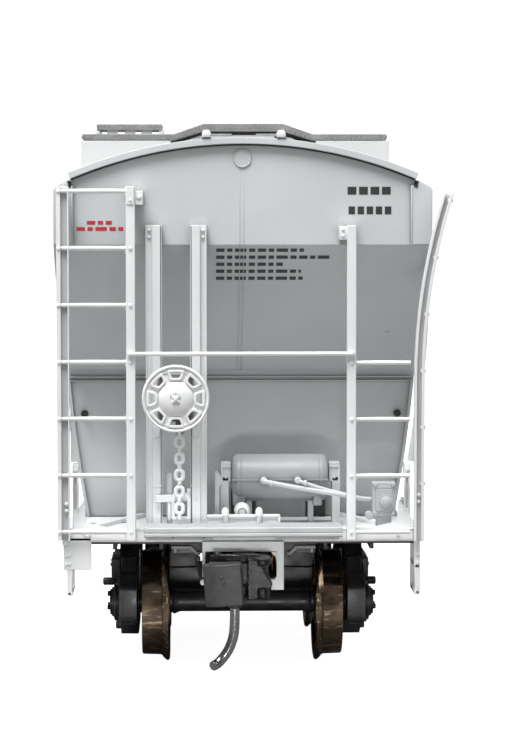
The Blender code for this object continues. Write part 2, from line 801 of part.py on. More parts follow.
def axle_socket(y):
    """The blind cone in which an axle's point runs."""
    profile = [(0.0, 12.3), (0.45, 11.75), (0.95, 10.95), (0.98, 10.0), (0.0, 10.0)]
    return turned(profile, "X", (y - TRUCK_Y, AXLE_Z), 16)


def truck_frames(black, trucks):
    solids, cuts = side_frame()
    cuts += [axle_socket(y) for y in (-AXLE_SPACING / 2, AXLE_SPACING / 2)]
    solids += mirrored(solids)
    cuts += mirrored(cuts)
    centre_y = (-TRUCK_Y - 2.3, -TRUCK_Y + 2.3)
    solids.append(box((-10.6, 10.6), centre_y, (5.2, BOLSTER_TOP_Z)))
    hole = cylinder((0, -TRUCK_Y), TRUCK_SCREW_RADIUS + 0.1, "Z", (4, 10), 14)
    origin = (0, -TRUCK_Y, 0)
    mesh = shaped(solids, black, cuts=cuts + [hole], origin=origin)
    for letter, truck in trucks.items():
        put(f"truck_frame_{letter}", mesh, parent=truck)


def axle_mesh(black):
    """An axle with journals that taper to points."""
    side = [(AXLE_RADIUS, 10.2), (0.85, 10.3), (0.85, 10.95), (0.35, 11.75), (0.0, AXLE_HALF_LENGTH)]
    profile = [(radius, -x) for radius, x in reversed(side)] + side
    return shaped([turned(profile, "X", (0, 0), 16)], black)


def wheel_mesh(metal):
    """A wheel with coned tread and flange; its hub fits over the axle."""
    bore = AXLE_RADIUS + 0.02
    inner, outer = WHEEL_INNER_X, WHEEL_OUTER_X
    profile = [
        (bore, inner + 0.1),
        (2.2, inner + 0.1),
        (4.2, inner + 1.0),
        (4.4, inner),
        (5.72, inner),
        (FLANGE_RADIUS, inner + 0.28),
        (TREAD_RADIUS + 0.15, inner + 0.8),
        (TREAD_RADIUS, outer - 0.1),
        (TREAD_RADIUS - 0.1, outer),
        (4.35, outer),
        (4.1, outer - 0.8),
        (2.2, outer - 0.6),
        (bore, outer - 0.6),
    ]
    return shaped([turned(profile, "X", (0, 0), 20, ring=True)], metal)


def wheelsets(metal, black, trucks):
    """Two wheelsets to a truck, each an axle with a left and a right wheel."""
    axle = axle_mesh(black)
    wheel = wheel_mesh(metal)
    for letter, truck in trucks.items():
        for number, side in ((1, -1), (2, 1)):
            place = (0, side * AXLE_SPACING / 2, AXLE_Z)
            put(f"axle_{letter}{number}", axle, place, truck)
            put(f"wheel_{letter}{number}_right", wheel, place, truck)
            left = put(f"wheel_{letter}{number}_left", wheel, place, truck)
            left.rotation_euler.z = math.pi


def screw(radius, head_radius, centre_y, z, head_z, slot=0.3):
    solids = [
        cylinder((0, centre_y), radius, "Z", z, 14),
        cylinder((0, centre_y), head_radius, "Z", head_z, 14),
    ]
    cut = box((-head_radius - 1, head_radius + 1), (centre_y - slot / 2, centre_y + slot / 2),
              (head_z[0] - 1, head_z[0] + slot))
    return solids, [cut]


def truck_screws(steel, ends):
    """The kingpin screws that hold the trucks up to the underframe."""
    solids, cuts = screw(TRUCK_SCREW_RADIUS, 1.7, -TRUCK_Y, (4.8, 11.9), (4.3, 5.1))
    put_both("truck_screw", shaped(solids, steel, cuts=cuts), ends)


# Couplers ----------------------------------------------------------------------------------


def coupler_lids(white, ends):
    lid = box((-3.05, 3.05), (-98.9, -POCKET_BACK_Y - GAP), (SILL_BOTTOM_Z, 9.6))
    hole = cylinder((0, -COUPLER_PIVOT_Y), 0.72, "Z", (8, 10), 12)
    put_both("coupler_box_lid", shaped([lid], white, cuts=[hole]), ends)


def coupler_screws(steel, ends):
    z = (8.6, 13.5)
    solids, cuts = screw(0.68, 1.2, -COUPLER_PIVOT_Y, z, (8.4, SILL_BOTTOM_Z - GAP), 0.25)
    put_both("coupler_screw", shaped(solids, steel, cuts=cuts), ends)


def coupler_springs(bronze, ends):
    """A flat spring under the pocket's roof, with a leaf down each side of the shank."""
    plate_z = (12.55, 12.7)
    solids = [box((-2.9, 2.9), (-98.0, -89.0), plate_z)]
    for x in ((-2.9, -2.75), (2.75, 2.9)):
        solids.append(box(x, (-97.5, -94.0), (10.2, 12.6)))
    hole = cylinder((0, -COUPLER_PIVOT_Y), 0.8, "Z", (12, 13), 12)
    put_both("coupler_spring", shaped(solids, bronze, cuts=[hole]), ends)


def couplers(black, ends):
    """The shank with its pivot eye, and the head with guard arm and knuckle lugs."""
    head = [
        (-3.3, -101.0),
        (-3.3, -102.1),
        (-2.3, -102.3),
        (-1.8, -102.75),
        (0.1, -102.75),
        (0.9, -103.4),
        (1.2, -COUPLER_FACE_Y + 0.2),
        (2.3, -104.4),
        (2.5, -102.4),
        (2.2, -101.0),
        (1.0, -100.4),
        (-1.0, -100.4),
    ]
    shank_z = (9.75, 12.4)
    solids = [
        prism(head, "Z", (8.9, 12.9)),
        box((-1.1, 1.1), (-101.5, -COUPLER_PIVOT_Y), shank_z),
        cylinder((0, -COUPLER_PIVOT_Y), 1.8, "Z", shank_z, 18),
    ]
    cuts = [
        cylinder((0, -COUPLER_PIVOT_Y), 0.75, "Z", (9, 13), 12),
        box((-3.6, -1.4), (-103.0, -100.0), (9.9, 11.7)),
        cylinder((KNUCKLE_X, KNUCKLE_Y), 0.27, "Z", (8.0, 14.0), 10),
    ]
    origin = (0, -COUPLER_PIVOT_Y, COUPLER_Z)
    put_both("coupler", shaped(solids, black, cuts=cuts, origin=origin), ends, origin)


def knuckles(black, ends):
    """The swinging knuckle: a tall block in front and a tongue around the pivot rivet."""
    block = [
        (-3.9, -103.3),
        (-3.3, -102.9),
        (-0.9, -102.9),
        (-0.25, -103.3),
        (-0.25, -104.7),
        (-0.6, -COUPLER_FACE_Y),
        (-3.5, -COUPLER_FACE_Y),
        (-3.9, -104.6),
    ]
    tongue_z = (10.0, 11.6)
    solids = [
        prism(block, "Z", (8.2, 12.2)),
        box((-3.05, -2.15), (-103.2, KNUCKLE_Y), tongue_z),
        cylinder((KNUCKLE_X, KNUCKLE_Y), 0.6, "Z", tongue_z, 14),
    ]
    cuts = [
        cylinder((KNUCKLE_X, KNUCKLE_Y), 0.27, "Z", (9.0, 12.0), 10),
        cylinder((-1.1, -104.0), 0.48, "Z", (7.0, 10.6), 12),
    ]
    origin = (KNUCKLE_X, KNUCKLE_Y, COUPLER_Z)
    put_both("knuckle", shaped(solids, black, cuts=cuts, origin=origin), ends, origin)


def knuckle_pins(black, ends):
    solids = [
        cylinder((KNUCKLE_X, KNUCKLE_Y), 0.24, "Z", (8.6, 13.1), 10),
        cylinder((KNUCKLE_X, KNUCKLE_Y), 0.4, "Z", (12.9 + GAP, 13.15), 10),
    ]
    put_both("knuckle_pin", shaped(solids, black), ends)


def trip_pins(steel, ends):
    """The curved pin that hangs from the knuckle for magnetic uncoupling."""
    bend = 2.4
    x, y, bend_z = -1.1, -104.0, 5.2
    path = [(x, y, 10.55), (x, y, 7.0)]
    for step in range(7):
        angle = math.radians(80) * step / 6
        path.append((x - bend * (1 - math.cos(angle)), y, bend_z - bend * math.sin(angle)))
    origin = (KNUCKLE_X, KNUCKLE_Y, COUPLER_Z)
    put_both("trip_pin", shaped([rod(path, 0.45, 12)], steel, origin=origin), ends, origin)


def build():
    clear_scene()
    white = material("white_plastic", (0.72, 0.74, 0.75), 0.42)
    grating = material("galvanised_grating", (0.42, 0.43, 0.44), 0.5, 0.3)
    black = material("black_plastic", (0.02, 0.02, 0.022), 0.5)
    bronze = material("bronze", (0.55, 0.36, 0.2), 0.35, 1.0)
    plated = material("plated_wheel", (0.42, 0.34, 0.27), 0.2, 1.0)
    steel = material("dark_steel", (0.16, 0.16, 0.17), 0.3, 0.9)

    ends = {"b": guide("end_b"), "a": guide("end_a", turn=math.pi)}
    trucks = {k: guide(f"truck_{k}", (0, -TRUCK_Y, 0), end) for k, end in ends.items()}

    body_shell(white)
    roof(white)
    hatch_covers(white)
    running_boards(grating)
    roof_crosswalks(grating, ends)
    underframe(white)
    outlet_gates(white)
    ballast_weight(steel)
    left_end_ladder(white, ends)
    right_end_ladder(white, ends)
    side_ladder(white, ends)
    crossover_platforms(grating, ends)
    brake_stand(white)
    brake_housing(white)
    brake_wheel(white)
    brake_chain(white)
    air_reservoir(white)
    reservoir_bracket(white)
    control_valve(white)
    reservoir_pipes(white)
    truck_frames(black, trucks)
    wheelsets(plated, black, trucks)
    truck_screws(steel, ends)
    coupler_lids(white, ends)
    coupler_screws(steel, ends)
    coupler_springs(bronze, ends)
    couplers(black, ends)
    knuckles(black, ends)
    knuckle_pins(black, ends)
    trip_pins(steel, ends)


build()
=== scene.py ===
"""The looks of the model hopper car: fine pieces, procedural materials, studio and camera."""

import json
import math

import bmesh
import bpy
from mathutils import Matrix, Vector


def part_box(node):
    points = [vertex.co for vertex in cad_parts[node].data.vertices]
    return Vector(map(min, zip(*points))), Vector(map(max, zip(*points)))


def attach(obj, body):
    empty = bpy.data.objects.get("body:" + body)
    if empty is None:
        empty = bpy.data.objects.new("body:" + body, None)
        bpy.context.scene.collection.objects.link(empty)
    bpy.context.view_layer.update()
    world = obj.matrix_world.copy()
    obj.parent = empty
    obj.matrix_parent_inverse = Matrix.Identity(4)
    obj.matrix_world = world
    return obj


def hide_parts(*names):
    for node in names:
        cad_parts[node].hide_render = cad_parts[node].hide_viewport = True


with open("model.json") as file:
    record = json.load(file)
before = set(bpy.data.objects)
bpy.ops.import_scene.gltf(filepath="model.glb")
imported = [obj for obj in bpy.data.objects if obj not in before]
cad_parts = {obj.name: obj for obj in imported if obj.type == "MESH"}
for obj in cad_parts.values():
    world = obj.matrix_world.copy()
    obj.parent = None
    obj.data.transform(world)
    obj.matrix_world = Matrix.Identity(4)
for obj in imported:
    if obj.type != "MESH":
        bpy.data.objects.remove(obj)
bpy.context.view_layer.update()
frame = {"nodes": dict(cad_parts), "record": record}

MM = 0.001
B_END = Matrix.Identity(4)
A_END = Matrix.Rotation(math.pi, 4, "Z")
ENDS = {"b": B_END, "a": A_END}


def high_corner(node):
    """The highest corner of a CAD node, in millimetres."""
    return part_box(node)[1] / MM


# Driving sizes, in millimetres, read off the frame -----------------------------------------

HALF_WIDTH = high_corner("body_shell").x + 0.2
PANEL_Y = 97.0
BULKHEAD_Y = 84.0
CREASE_Z = 42.0
FOLD_Z = CREASE_Z - (PANEL_Y - BULKHEAD_Y)
EAVES_Z = 47.3
BODY_LOW_Z = 14.05
BAY_PITCH = 38.7
SIDE_RADIUS = 150.0
CROWN_Z = 52.38
ROOF_RADIUS = 43.4
ROOF_THICK = 0.65
ROOF_INNER = ROOF_RADIUS - ROOF_THICK
ROOF_HALF, ROOF_END_Y = high_corner("roof").xy
DECK_Z = 14.0
DECK_TOP_Z = DECK_Z + 0.06
DECK_HALF = 17.4
SILL_FRONT = -99.0
PANEL_FACE = -PANEL_Y - 0.06
POST_TOP_Z = 43.9
LADDER_FRONT = -99.9
LADDER_BACK = -99.1
RUNG_PITCH = 5.46
TOP_RUNG_Z = 47.17
LEAN_Z = 29.0
LEAN_RADIUS = 60.0
STILE_X = 17.42
HAND_WHEEL = (-6.55, -100.35, 27.35)
WINDOW_TURN = math.pi / 4
TANK_Y, TANK_Z, TANK_RADIUS = -92.0, 18.85, 2.33
PIPE_XS = (2.05, 5.4)
PIPE_Y = -94.6
KNUCKLE_PIN = (-2.6, -101.7)
TRUCK_Y = 78.0
AXLE_SPACING = 20.4
AXLE_Z = 5.89


# Solids, as bmeshes in millimetres ---------------------------------------------------------


def on_axis(axis, a, b, along):
    """The point at a, b across the axis and some way along it."""
    return {"X": (along, a, b), "Y": (a, along, b), "Z": (a, b, along)}[axis]


def bridge(bm, pairs):
    """Walls between loops; a loop of one vertex makes a cone."""
    for lower, upper in pairs:
        count = max(len(lower), len(upper))
        for i in range(count):
            j = (i + 1) % count
            corners = [
                lower[i % len(lower)],
                lower[j % len(lower)],
                upper[j % len(upper)],
                upper[i % len(upper)],
            ]
            bm.faces.new(list(dict.fromkeys(corners)))


def closed_rim(bm, loop):
    return [bm.edges.new((vert, loop[(i + 1) % len(loop)])) for i, vert in enumerate(loop)]


def outward(bm):
    bmesh.ops.recalc_face_normals(bm, faces=bm.faces)
    return bm


def rounded(bm, width, segments=2, angle=30):
    """Bevels the edges that turn more than the angle."""
    bm.normal_update()
    sharp = [e for e in bm.edges if len(e.link_faces) == 2 and e.calc_face_angle(0) > math.radians(angle)]
    if width and sharp:
        bmesh.ops.bevel(
            bm, geom=sharp, offset=width, offset_type="OFFSET", segments=segments,
            profile=0.5, affect="EDGES", clamp_overlap=True,
        )
    return bm


def prism(outline, axis, span, round_off=0.06, segments=2):
    bm = bmesh.new()
    ends = [[bm.verts.new(on_axis(axis, a, b, t)) for a, b in outline] for t in span]
    for end in ends:
        bm.faces.new(end)
    bridge(bm, [ends])
    return rounded(outward(bm), round_off, segments)


def box(x, y, z, round_off=0.06, segments=2):
    return prism([(x[0], y[0]), (x[1], y[0]), (x[1], y[1]), (x[0], y[1])], "Z", z, round_off, segments)


def circle(centre, radius, count):
    turn = 2 * math.pi / count
    return [
        (centre[0] + radius * math.cos(i * turn), centre[1] + radius * math.sin(i * turn))
        for i in range(count)
    ]


def cylinder(centre, radius, axis, span, count=24, round_off=0.05):
    return prism(circle(centre, radius, count), axis, span, round_off)


def turned(profile, axis, centre, count=48, ring=False):
    bm = bmesh.new()
    loops = []
    for radius, along in profile:
        points = circle(centre, radius, count) if radius else [centre]
        loops.append([bm.verts.new(on_axis(axis, a, b, along)) for a, b in points])
    pairs = list(zip(loops, loops[1:]))
    if ring:
        pairs.append((loops[-1], loops[0]))
    bridge(bm, pairs)
    return outward(bm)


def rod(path, radius, count=12, tip=0.0):
    """A round bar along a path; tip rounds off both ends."""
    points = [Vector(point) for point in path]
    bm = bmesh.new()
    loops = []
    side = (points[1] - points[0]).orthogonal()
    for i, point in enumerate(points):
        before = points[max(i, 1)] - points[max(i, 1) - 1]
        after = points[min(i + 1, len(points) - 1)] - points[min(i, len(points) - 2)]
        along = (before.normalized() + after.normalized()).normalized()
        side = (side - along * side.dot(along)).normalized()
        other = along.cross(side)
        ring = circle((0, 0), radius, count)
        loops.append([bm.verts.new(point + side * a + other * b) for a, b in ring])
    bm.faces.new(loops[0])
    bm.faces.new(loops[-1])
    bridge(bm, zip(loops, loops[1:]))
    return rounded(outward(bm), tip, 2, 60)


def bolt(at, axis, radius=0.2, height=0.16, count=10):
    """A small round-headed rivet that stands on the point, along the signed axis."""
    sign = -1 if axis[0] == "-" else 1
    name = axis[-1]
    order = {"X": (1, 2, 0), "Y": (0, 2, 1), "Z": (0, 1, 2)}[name]
    centre = (at[order[0]], at[order[1]])
    base = at[order[2]]
    profile = [
        (0.0, base - sign * 0.1),
        (radius, base - sign * 0.1),
        (radius, base + sign * height * 0.45),
        (radius * 0.72, base + sign * height * 0.85),
        (0.0, base + sign * height),
    ]
    return turned(profile, name, centre, count)


def moved(solids, matrix):
    copies = [solid.copy() for solid in solids]
    for copy in copies:
        copy.transform(matrix)
    return copies


def mirrored(solids):
    """Copies on the other side of the car's middle."""
    copies = [solid.copy() for solid in solids]
    for copy in copies:
        bmesh.ops.scale(copy, vec=(-1, 1, 1), verts=copy.verts)
        outward(copy)
    return copies


def half_turned(solids):
    return moved(solids, A_END)


def both_halves(half, *middle):
    """An outline from its right half: the points, those in the middle, then the mirror images."""
    return [*half, *middle, *((-x, z) for x, z in reversed(half))]


def on_side(side, points):
    """An outline drawn for the right, put on the side that is 1 or -1."""
    return [(side * x, z) for x, z in points]


def span(side, near, far):
    """A low-to-high span between two distances out on a side."""
    return sorted((side * near, side * far))


# Pieces ------------------------------------------------------------------------------------


def merged_mesh(name, solids):
    """One mesh in metres of all the solids, which are used up."""
    whole = bmesh.new()
    for solid in solids:
        part = bpy.data.meshes.new("part")
        solid.to_mesh(part)
        solid.free()
        whole.from_mesh(part)
        bpy.data.meshes.remove(part)
    mesh = bpy.data.meshes.new(name)
    whole.to_mesh(mesh)
    whole.free()
    mesh.transform(Matrix.Scale(MM, 4))
    return mesh


def finished(name, solids, finish, sharp=35):
    """The merged mesh in its finish, smooth but for the edges sharper than the angle."""
    mesh = merged_mesh(name, solids)
    mesh.materials.append(finish)
    mesh.shade_smooth()
    mesh.set_sharp_from_angle(angle=math.radians(sharp))
    return mesh


def piece(name, solids, finish, node=None, body="car", place=B_END, mesh=None):
    """A visible piece that rides on a body, in place of the CAD node it stands for."""
    thing = bpy.data.objects.new(name, mesh or finished(name, solids, finish))
    thing.matrix_world = place
    bpy.context.scene.collection.objects.link(thing)
    thing.modifiers.new("even", "WEIGHTED_NORMAL").keep_sharp = True
    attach(thing, body)
    if node:
        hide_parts(node)
    return thing


def at_both_ends(name, solids, finish, node=None, body="car"):
    """The piece at the B end and its copy, half turned, at the A end."""
    mesh = None
    for letter, turn in ENDS.items():
        stands_for = node and f"{node}_{letter}"
        riding = body if body == "car" else f"{body}_{letter}"
        made = piece(f"{name}_{letter}", solids, finish, stands_for, riding, turn, mesh)
        mesh = made.data


def three_along(name, mesh, finish, node, pitch):
    """The same mesh over each of the three bays."""
    for number in (1, 2, 3):
        place = Matrix.Translation((0, (number - 2) * pitch * MM, 0))
        piece(f"{name}_{number}", [], finish, f"{node}_{number}", place=place, mesh=mesh)


def refined(node, finish, bevel=0.05):
    """A CAD node that stays: crisp faces, softened edges and its own finish."""
    thing = frame["nodes"][node]
    thing.data.materials.clear()
    thing.data.materials.append(finish)
    weld = thing.modifiers.new("weld", "WELD")
    weld.merge_threshold = 1e-6
    flat = thing.modifiers.new("flat", "DECIMATE")
    flat.decimate_type = "DISSOLVE"
    flat.angle_limit = math.radians(1.0)
    soft = thing.modifiers.new("soft", "BEVEL")
    soft.width = bevel * MM
    soft.segments = 2
    soft.limit_method = "ANGLE"
    soft.angle_limit = math.radians(32)
    soft.harden_normals = True
    thing.data.shade_smooth()


# Materials ---------------------------------------------------------------------------------


class Nodes:
    """A material's node tree, with short ways to add and join nodes."""

    def __init__(self, name):
        self.material = bpy.data.materials.new(name)
        self.material.use_nodes = True
        self.tree = self.material.node_tree
        self.shader = self.tree.nodes["Principled BSDF"]
        self.place = self.add("ShaderNodeTexCoord").outputs["Object"]

    def add(self, kind, **settings):
        node = self.tree.nodes.new(kind)
        for key, value in settings.items():
            setattr(node, key, value)
        return node

    def join(self, source, target):
        self.tree.links.new(source, target)

    def noise(self, per_mm, detail=3.0, rough=0.5, vector=None):
        node = self.add("ShaderNodeTexNoise")
        node.inputs["Scale"].default_value = per_mm / MM
        node.inputs["Detail"].default_value = detail
        node.inputs["Roughness"].default_value = rough
        self.join(vector or self.place, node.inputs["Vector"])
        return node.outputs["Fac"]

    def ranged(self, value, low, high, from_low=0.3, from_high=0.7):
        node = self.add("ShaderNodeMapRange")
        node.inputs["From Min"].default_value = from_low
        node.inputs["From Max"].default_value = from_high
        node.inputs["To Min"].default_value = low
        node.inputs["To Max"].default_value = high
        self.join(value, node.inputs["Value"])
        return node.outputs["Result"]

    def mixed(self, factor, first, second):
        """A colour between two; each is a colour or a socket."""
        node = self.add("ShaderNodeMix", data_type="RGBA")
        for socket, value in ((node.inputs[0], factor), (node.inputs[6], first), (node.inputs[7], second)):
            if isinstance(value, bpy.types.NodeSocket):
                self.join(value, socket)
            elif isinstance(value, tuple):
                socket.default_value = (*value, 1.0)
            else:
                socket.default_value = value
        return node.outputs[2]

    def crevice(self, reach_mm):
        """The mask for painted shade: 1 in the open, towards 0 in corners."""
        node = self.add("ShaderNodeAmbientOcclusion", samples=4)
        node.inputs["Distance"].default_value = reach_mm * MM
        return node.outputs["AO"]

    def bump(self, height, depth_mm, strength=1.0, normal=None):
        node = self.add("ShaderNodeBump")
        node.inputs["Strength"].default_value = strength
        node.inputs["Distance"].default_value = depth_mm * MM
        self.join(height, node.inputs["Height"])
        if normal is not None:
            self.join(normal, node.inputs["Normal"])
        return node.outputs["Normal"]

    def give(self, **inputs):
        for key, value in inputs.items():
            socket = self.shader.inputs[key.replace("_", " ")]
            if isinstance(value, bpy.types.NodeSocket):
                self.join(value, socket)
            elif isinstance(value, tuple):
                socket.default_value = (*value, 1.0)
            else:
                socket.default_value = value
        return self.material


def painted_plastic(name, colour, shade, rough=(0.36, 0.5), corner_shade_reach_mm=0.8, hollow_shade_reach_mm=0.0):
    """Sprayed styrene: a faint orange peel and fine specks, with painted shade darkening the corners and,
    given a reach, the deeper hollows.
    """
    n = Nodes(name)
    broad = n.noise(0.08, 4.0)
    tint = n.mixed(n.ranged(broad, 0.0, 0.5), colour, shade)
    # Painted shade: corners darken towards the shade tone
    corner = n.ranged(n.crevice(corner_shade_reach_mm), 0.0, 1.0, 0.35, 0.85)
    tint = n.mixed(corner, shade, tint)
    # Painted shade: over the longer reach, hollows darken further to a dimmer tone
    if hollow_shade_reach_mm:
        hollow_shade_tone = tuple(c * 0.55 for c in shade)
        tint = n.mixed(n.ranged(n.crevice(hollow_shade_reach_mm), 0.0, 1.0, 0.3, 0.8), hollow_shade_tone, tint)
    peel = n.noise(1.6, 2.0)
    speck = n.noise(14.0, 2.0)
    normal = n.bump(speck, 0.006, 0.5, n.bump(peel, 0.012, 0.6))
    return n.give(
        Base_Color=tint,
        Roughness=n.ranged(n.noise(0.7, 3.0), *rough),
        Normal=normal,
        Specular_IOR_Level=0.45,
    )


def galvanised(name):
    """Grey painted grating: patchy tone, a sandy surface and brighter worn spots."""
    n = Nodes(name)
    patch = n.noise(0.5, 5.0, 0.6)
    tint = n.mixed(n.ranged(patch, 0.0, 1.0), (0.23, 0.235, 0.24), (0.40, 0.405, 0.41))
    grain = n.noise(6.0, 4.0, 0.7)
    tint = n.mixed(n.ranged(grain, 0.0, 0.8, 0.5, 0.72), tint, (0.62, 0.625, 0.63))
    return n.give(
        Base_Color=tint,
        Metallic=0.25,
        Roughness=n.ranged(patch, 0.45, 0.7),
        Normal=n.bump(grain, 0.05, 0.8),
    )


def moulded_black(name):
    """Slippery black moulding, with a cast texture that catches light on its edges."""
    n = Nodes(name)
    broad = n.noise(0.6, 4.0)
    grain = n.noise(7.0, 3.0, 0.6)
    return n.give(
        Base_Color=n.mixed(n.ranged(broad, 0.0, 1.0), (0.012, 0.012, 0.014), (0.035, 0.035, 0.038)),
        Roughness=n.ranged(broad, 0.26, 0.5),
        Normal=n.bump(grain, 0.02, 0.6),
    )


def cast_grey(name, low, high, rough=(0.38, 0.6), shine=0.5):
    """A dark die casting between two tones."""
    n = Nodes(name)
    broad = n.noise(1.2, 4.0)
    grain = n.noise(9.0, 3.0, 0.6)
    return n.give(
        Base_Color=n.mixed(n.ranged(broad, 0.0, 1.0), low, high),
        Roughness=n.ranged(broad, *rough),
        Normal=n.bump(grain, 0.03, 0.7),
        Specular_IOR_Level=shine,
    )


def lathe_turned(name):
    """Plated wheels: rings left by the tool, stains, and golden streaks across the tread that are a painted
    reflection.
    """
    n = Nodes(name)
    parts = n.add("ShaderNodeSeparateXYZ")
    n.join(n.place, parts.inputs["Vector"])
    flat = n.add("ShaderNodeCombineXYZ")
    n.join(parts.outputs["Y"], flat.inputs["Y"])
    n.join(parts.outputs["Z"], flat.inputs["Z"])
    length = n.add("ShaderNodeVectorMath", operation="LENGTH")
    n.join(flat.outputs["Vector"], length.inputs[0])
    along = n.add("ShaderNodeCombineXYZ")
    n.join(length.outputs["Value"], along.inputs["X"])
    n.join(parts.outputs["X"], along.inputs["Y"])
    rings = n.noise(9.0, 3.0, 0.6, along.outputs["Vector"])
    stain = n.noise(0.5, 5.0, 0.6)
    tint = n.mixed(n.ranged(stain, 0.0, 1.0), (0.11, 0.078, 0.054), (0.32, 0.235, 0.16))
    across = n.add("ShaderNodeVectorMath", operation="MULTIPLY")
    across.inputs[1].default_value = (0.12, 1.0, 1.0)
    n.join(n.place, across.inputs[0])
    # Painted reflection: bright golden streaks across the tread
    reflection_streak = n.noise(2.2, 4.0, 0.7, across.outputs["Vector"])
    tint = n.mixed(n.ranged(reflection_streak, 0.0, 1.0, 0.55, 0.68), tint, (0.95, 0.74, 0.5))
    return n.give(
        Base_Color=tint,
        Metallic=1.0,
        Roughness=n.ranged(stain, 0.1, 0.22),
        Normal=n.bump(rings, 0.012, 0.5),
    )


def steel(name, colour, rough=(0.2, 0.38)):
    """Bare metal with stains and fine scratches."""
    n = Nodes(name)
    stain = n.noise(1.1, 5.0, 0.6)
    fine = n.noise(12.0, 3.0)
    return n.give(
        Base_Color=n.mixed(n.ranged(stain, 0.0, 0.5), colour, tuple(c * 0.55 for c in colour)),
        Metallic=1.0,
        Roughness=n.ranged(stain, *rough),
        Normal=n.bump(fine, 0.008, 0.5),
    )


def printed(name, colour):
    """Pad-printed ink, slightly broken at the edges."""
    n = Nodes(name)
    wear = n.noise(5.0, 4.0, 0.6)
    return n.give(
        Base_Color=n.mixed(n.ranged(wear, 0.0, 0.06), colour, (0.6, 0.6, 0.6)),
        Roughness=n.ranged(wear, 0.4, 0.6),
        Normal=n.bump(wear, 0.004, 0.5),
    )


def worn_paint(name):
    """White paint rubbed through in small dark spots."""
    n = Nodes(name)
    broad = n.noise(0.3, 4.0)
    tint = n.mixed(n.ranged(broad, 0.0, 0.6), (0.52, 0.53, 0.535), (0.4, 0.41, 0.415))
    chips = n.noise(1.3, 6.0, 0.7)
    tint = n.mixed(n.ranged(chips, 0.0, 0.8, 0.66, 0.7), tint, (0.22, 0.22, 0.225))
    return n.give(
        Base_Color=tint,
        Roughness=n.ranged(broad, 0.38, 0.55),
        Normal=n.bump(chips, 0.05, 0.7, n.bump(n.noise(1.6, 2.0), 0.02, 0.6)),
    )


# Body paint, with painted shade in its corners and, over an 11 mm reach, in the deep hollows of the ends
WHITE = painted_plastic("body_paint", (0.69, 0.71, 0.717), (0.50, 0.52, 0.525), hollow_shade_reach_mm=11.0)
# Painted shade: a grey copy of the light paint for parts that sit in shade
SHADE_GREY = painted_plastic("painted_shade_grey", (0.36, 0.37, 0.376), (0.2, 0.205, 0.21), hollow_shade_reach_mm=4.0)
# Painted shade: a near-black copy of the paint for the underframe and the plates that stand for shade
SHADED = painted_plastic("painted_shade_underframe", (0.05, 0.051, 0.053), (0.02, 0.02, 0.021), hollow_shade_reach_mm=6.0)
# Painted shade: a lightly shaded copy of the paint for webs, tank brackets, valve and pipes
SHADE_PALE = painted_plastic("painted_shade_pale", (0.62, 0.63, 0.64), (0.42, 0.425, 0.435), corner_shade_reach_mm=0.6)
# Painted light: a still brighter copy of the same paint, for the hand wheel
LIT_BRAKE_WHITE = painted_plastic("painted_light_brake", (0.93, 0.935, 0.94), (0.74, 0.75, 0.76), corner_shade_reach_mm=0.3)
# Painted light: a brighter copy of the body paint, for details that are the same paint as the body
LIT_WHITE = painted_plastic("painted_light_detail", (0.9, 0.91, 0.915), (0.68, 0.69, 0.70), corner_shade_reach_mm=0.4)
GRATING = galvanised("galvanised_grating")
BLACK = moulded_black("truck_black")
COUPLER = cast_grey("coupler_casting", (0.019, 0.0195, 0.021), (0.042, 0.043, 0.045))
# Painted shade: the coupler head is a far darker copy of the knuckle's casting
SHADED_COUPLER_HEAD = cast_grey(
    "coupler_head_painted_shade", (0.003, 0.003, 0.003), (0.008, 0.008, 0.0085), (0.2, 0.32), 0.25
)
WHEEL = lathe_turned("plated_wheel")
PIN = steel("trip_pin_steel", (0.3, 0.3, 0.305), (0.1, 0.22))
STEEL = steel("dark_steel", (0.25, 0.25, 0.26))
BRONZE = steel("spring_bronze", (0.55, 0.36, 0.2))
WORN = worn_paint("worn_paint")
BLACK_INK = printed("black_ink", (0.02, 0.02, 0.022))
RED_INK = printed("red_ink", (0.5, 0.015, 0.03))
AXLE = moulded_black("axle_black")
KEPT = ("coupler_spring", "coupler_screw", "coupler_box", "truck_screw", "ballast_weight")
KEPT_FINISHES = {"black_plastic": BLACK, "dark_steel": STEEL, "bronze": BRONZE, "white_plastic": LIT_WHITE}


# Body and roof -----------------------------------------------------------------------------


def spaced(low, high, steps):
    return [low + (high - low) * i / steps for i in range(steps + 1)]


def arc_z(x, radius=ROOF_RADIUS):
    """Height of an arc that shares the roof's centre."""
    return CROWN_Z - ROOF_RADIUS + math.sqrt(radius**2 - x**2)


def roof_arc(low_x, high_x, radius, steps):
    return [(x, arc_z(x, radius)) for x in spaced(low_x, high_x, steps)]


def half_width(z):
    """Half the body's width: upright above the crease, an arc below it."""
    drop = max(0.0, CREASE_Z - z)
    return HALF_WIDTH - SIDE_RADIUS + math.sqrt(SIDE_RADIUS**2 - drop**2)


def half_length(z):
    """Half the body's length: end panel, slope sheet at 45 degrees, bulkhead."""
    return max(BULKHEAD_Y, min(PANEL_Y, PANEL_Y - (CREASE_Z - z)))


def loft(levels, centre=(0.0, 0.0), round_off=0.1):
    """A stack of rectangles of half width, half length and height."""
    bm = bmesh.new()
    loops = []
    for half_x, half_y, z in levels:
        corners = ((-half_x, -half_y), (half_x, -half_y), (half_x, half_y), (-half_x, half_y))
        loops.append([bm.verts.new((centre[0] + x, centre[1] + y, z)) for x, y in corners])
    bm.faces.new(loops[0])
    bm.faces.new(loops[-1])
    bridge(bm, zip(loops, loops[1:]))
    return rounded(outward(bm), round_off, 2)


def side_bead(y, half=0.16, proud=0.07):
    """A weld bead down the curved side."""
    heights = spaced(BODY_LOW_Z + 0.3, EAVES_Z - 0.2, 22)
    outer = [(half_width(z) + proud, z) for z in heights]
    inner = [(half_width(z) - 0.3, z) for z in reversed(heights)]
    return prism(outer + inner, "Y", (y - half, y + half), 0.05, 1)


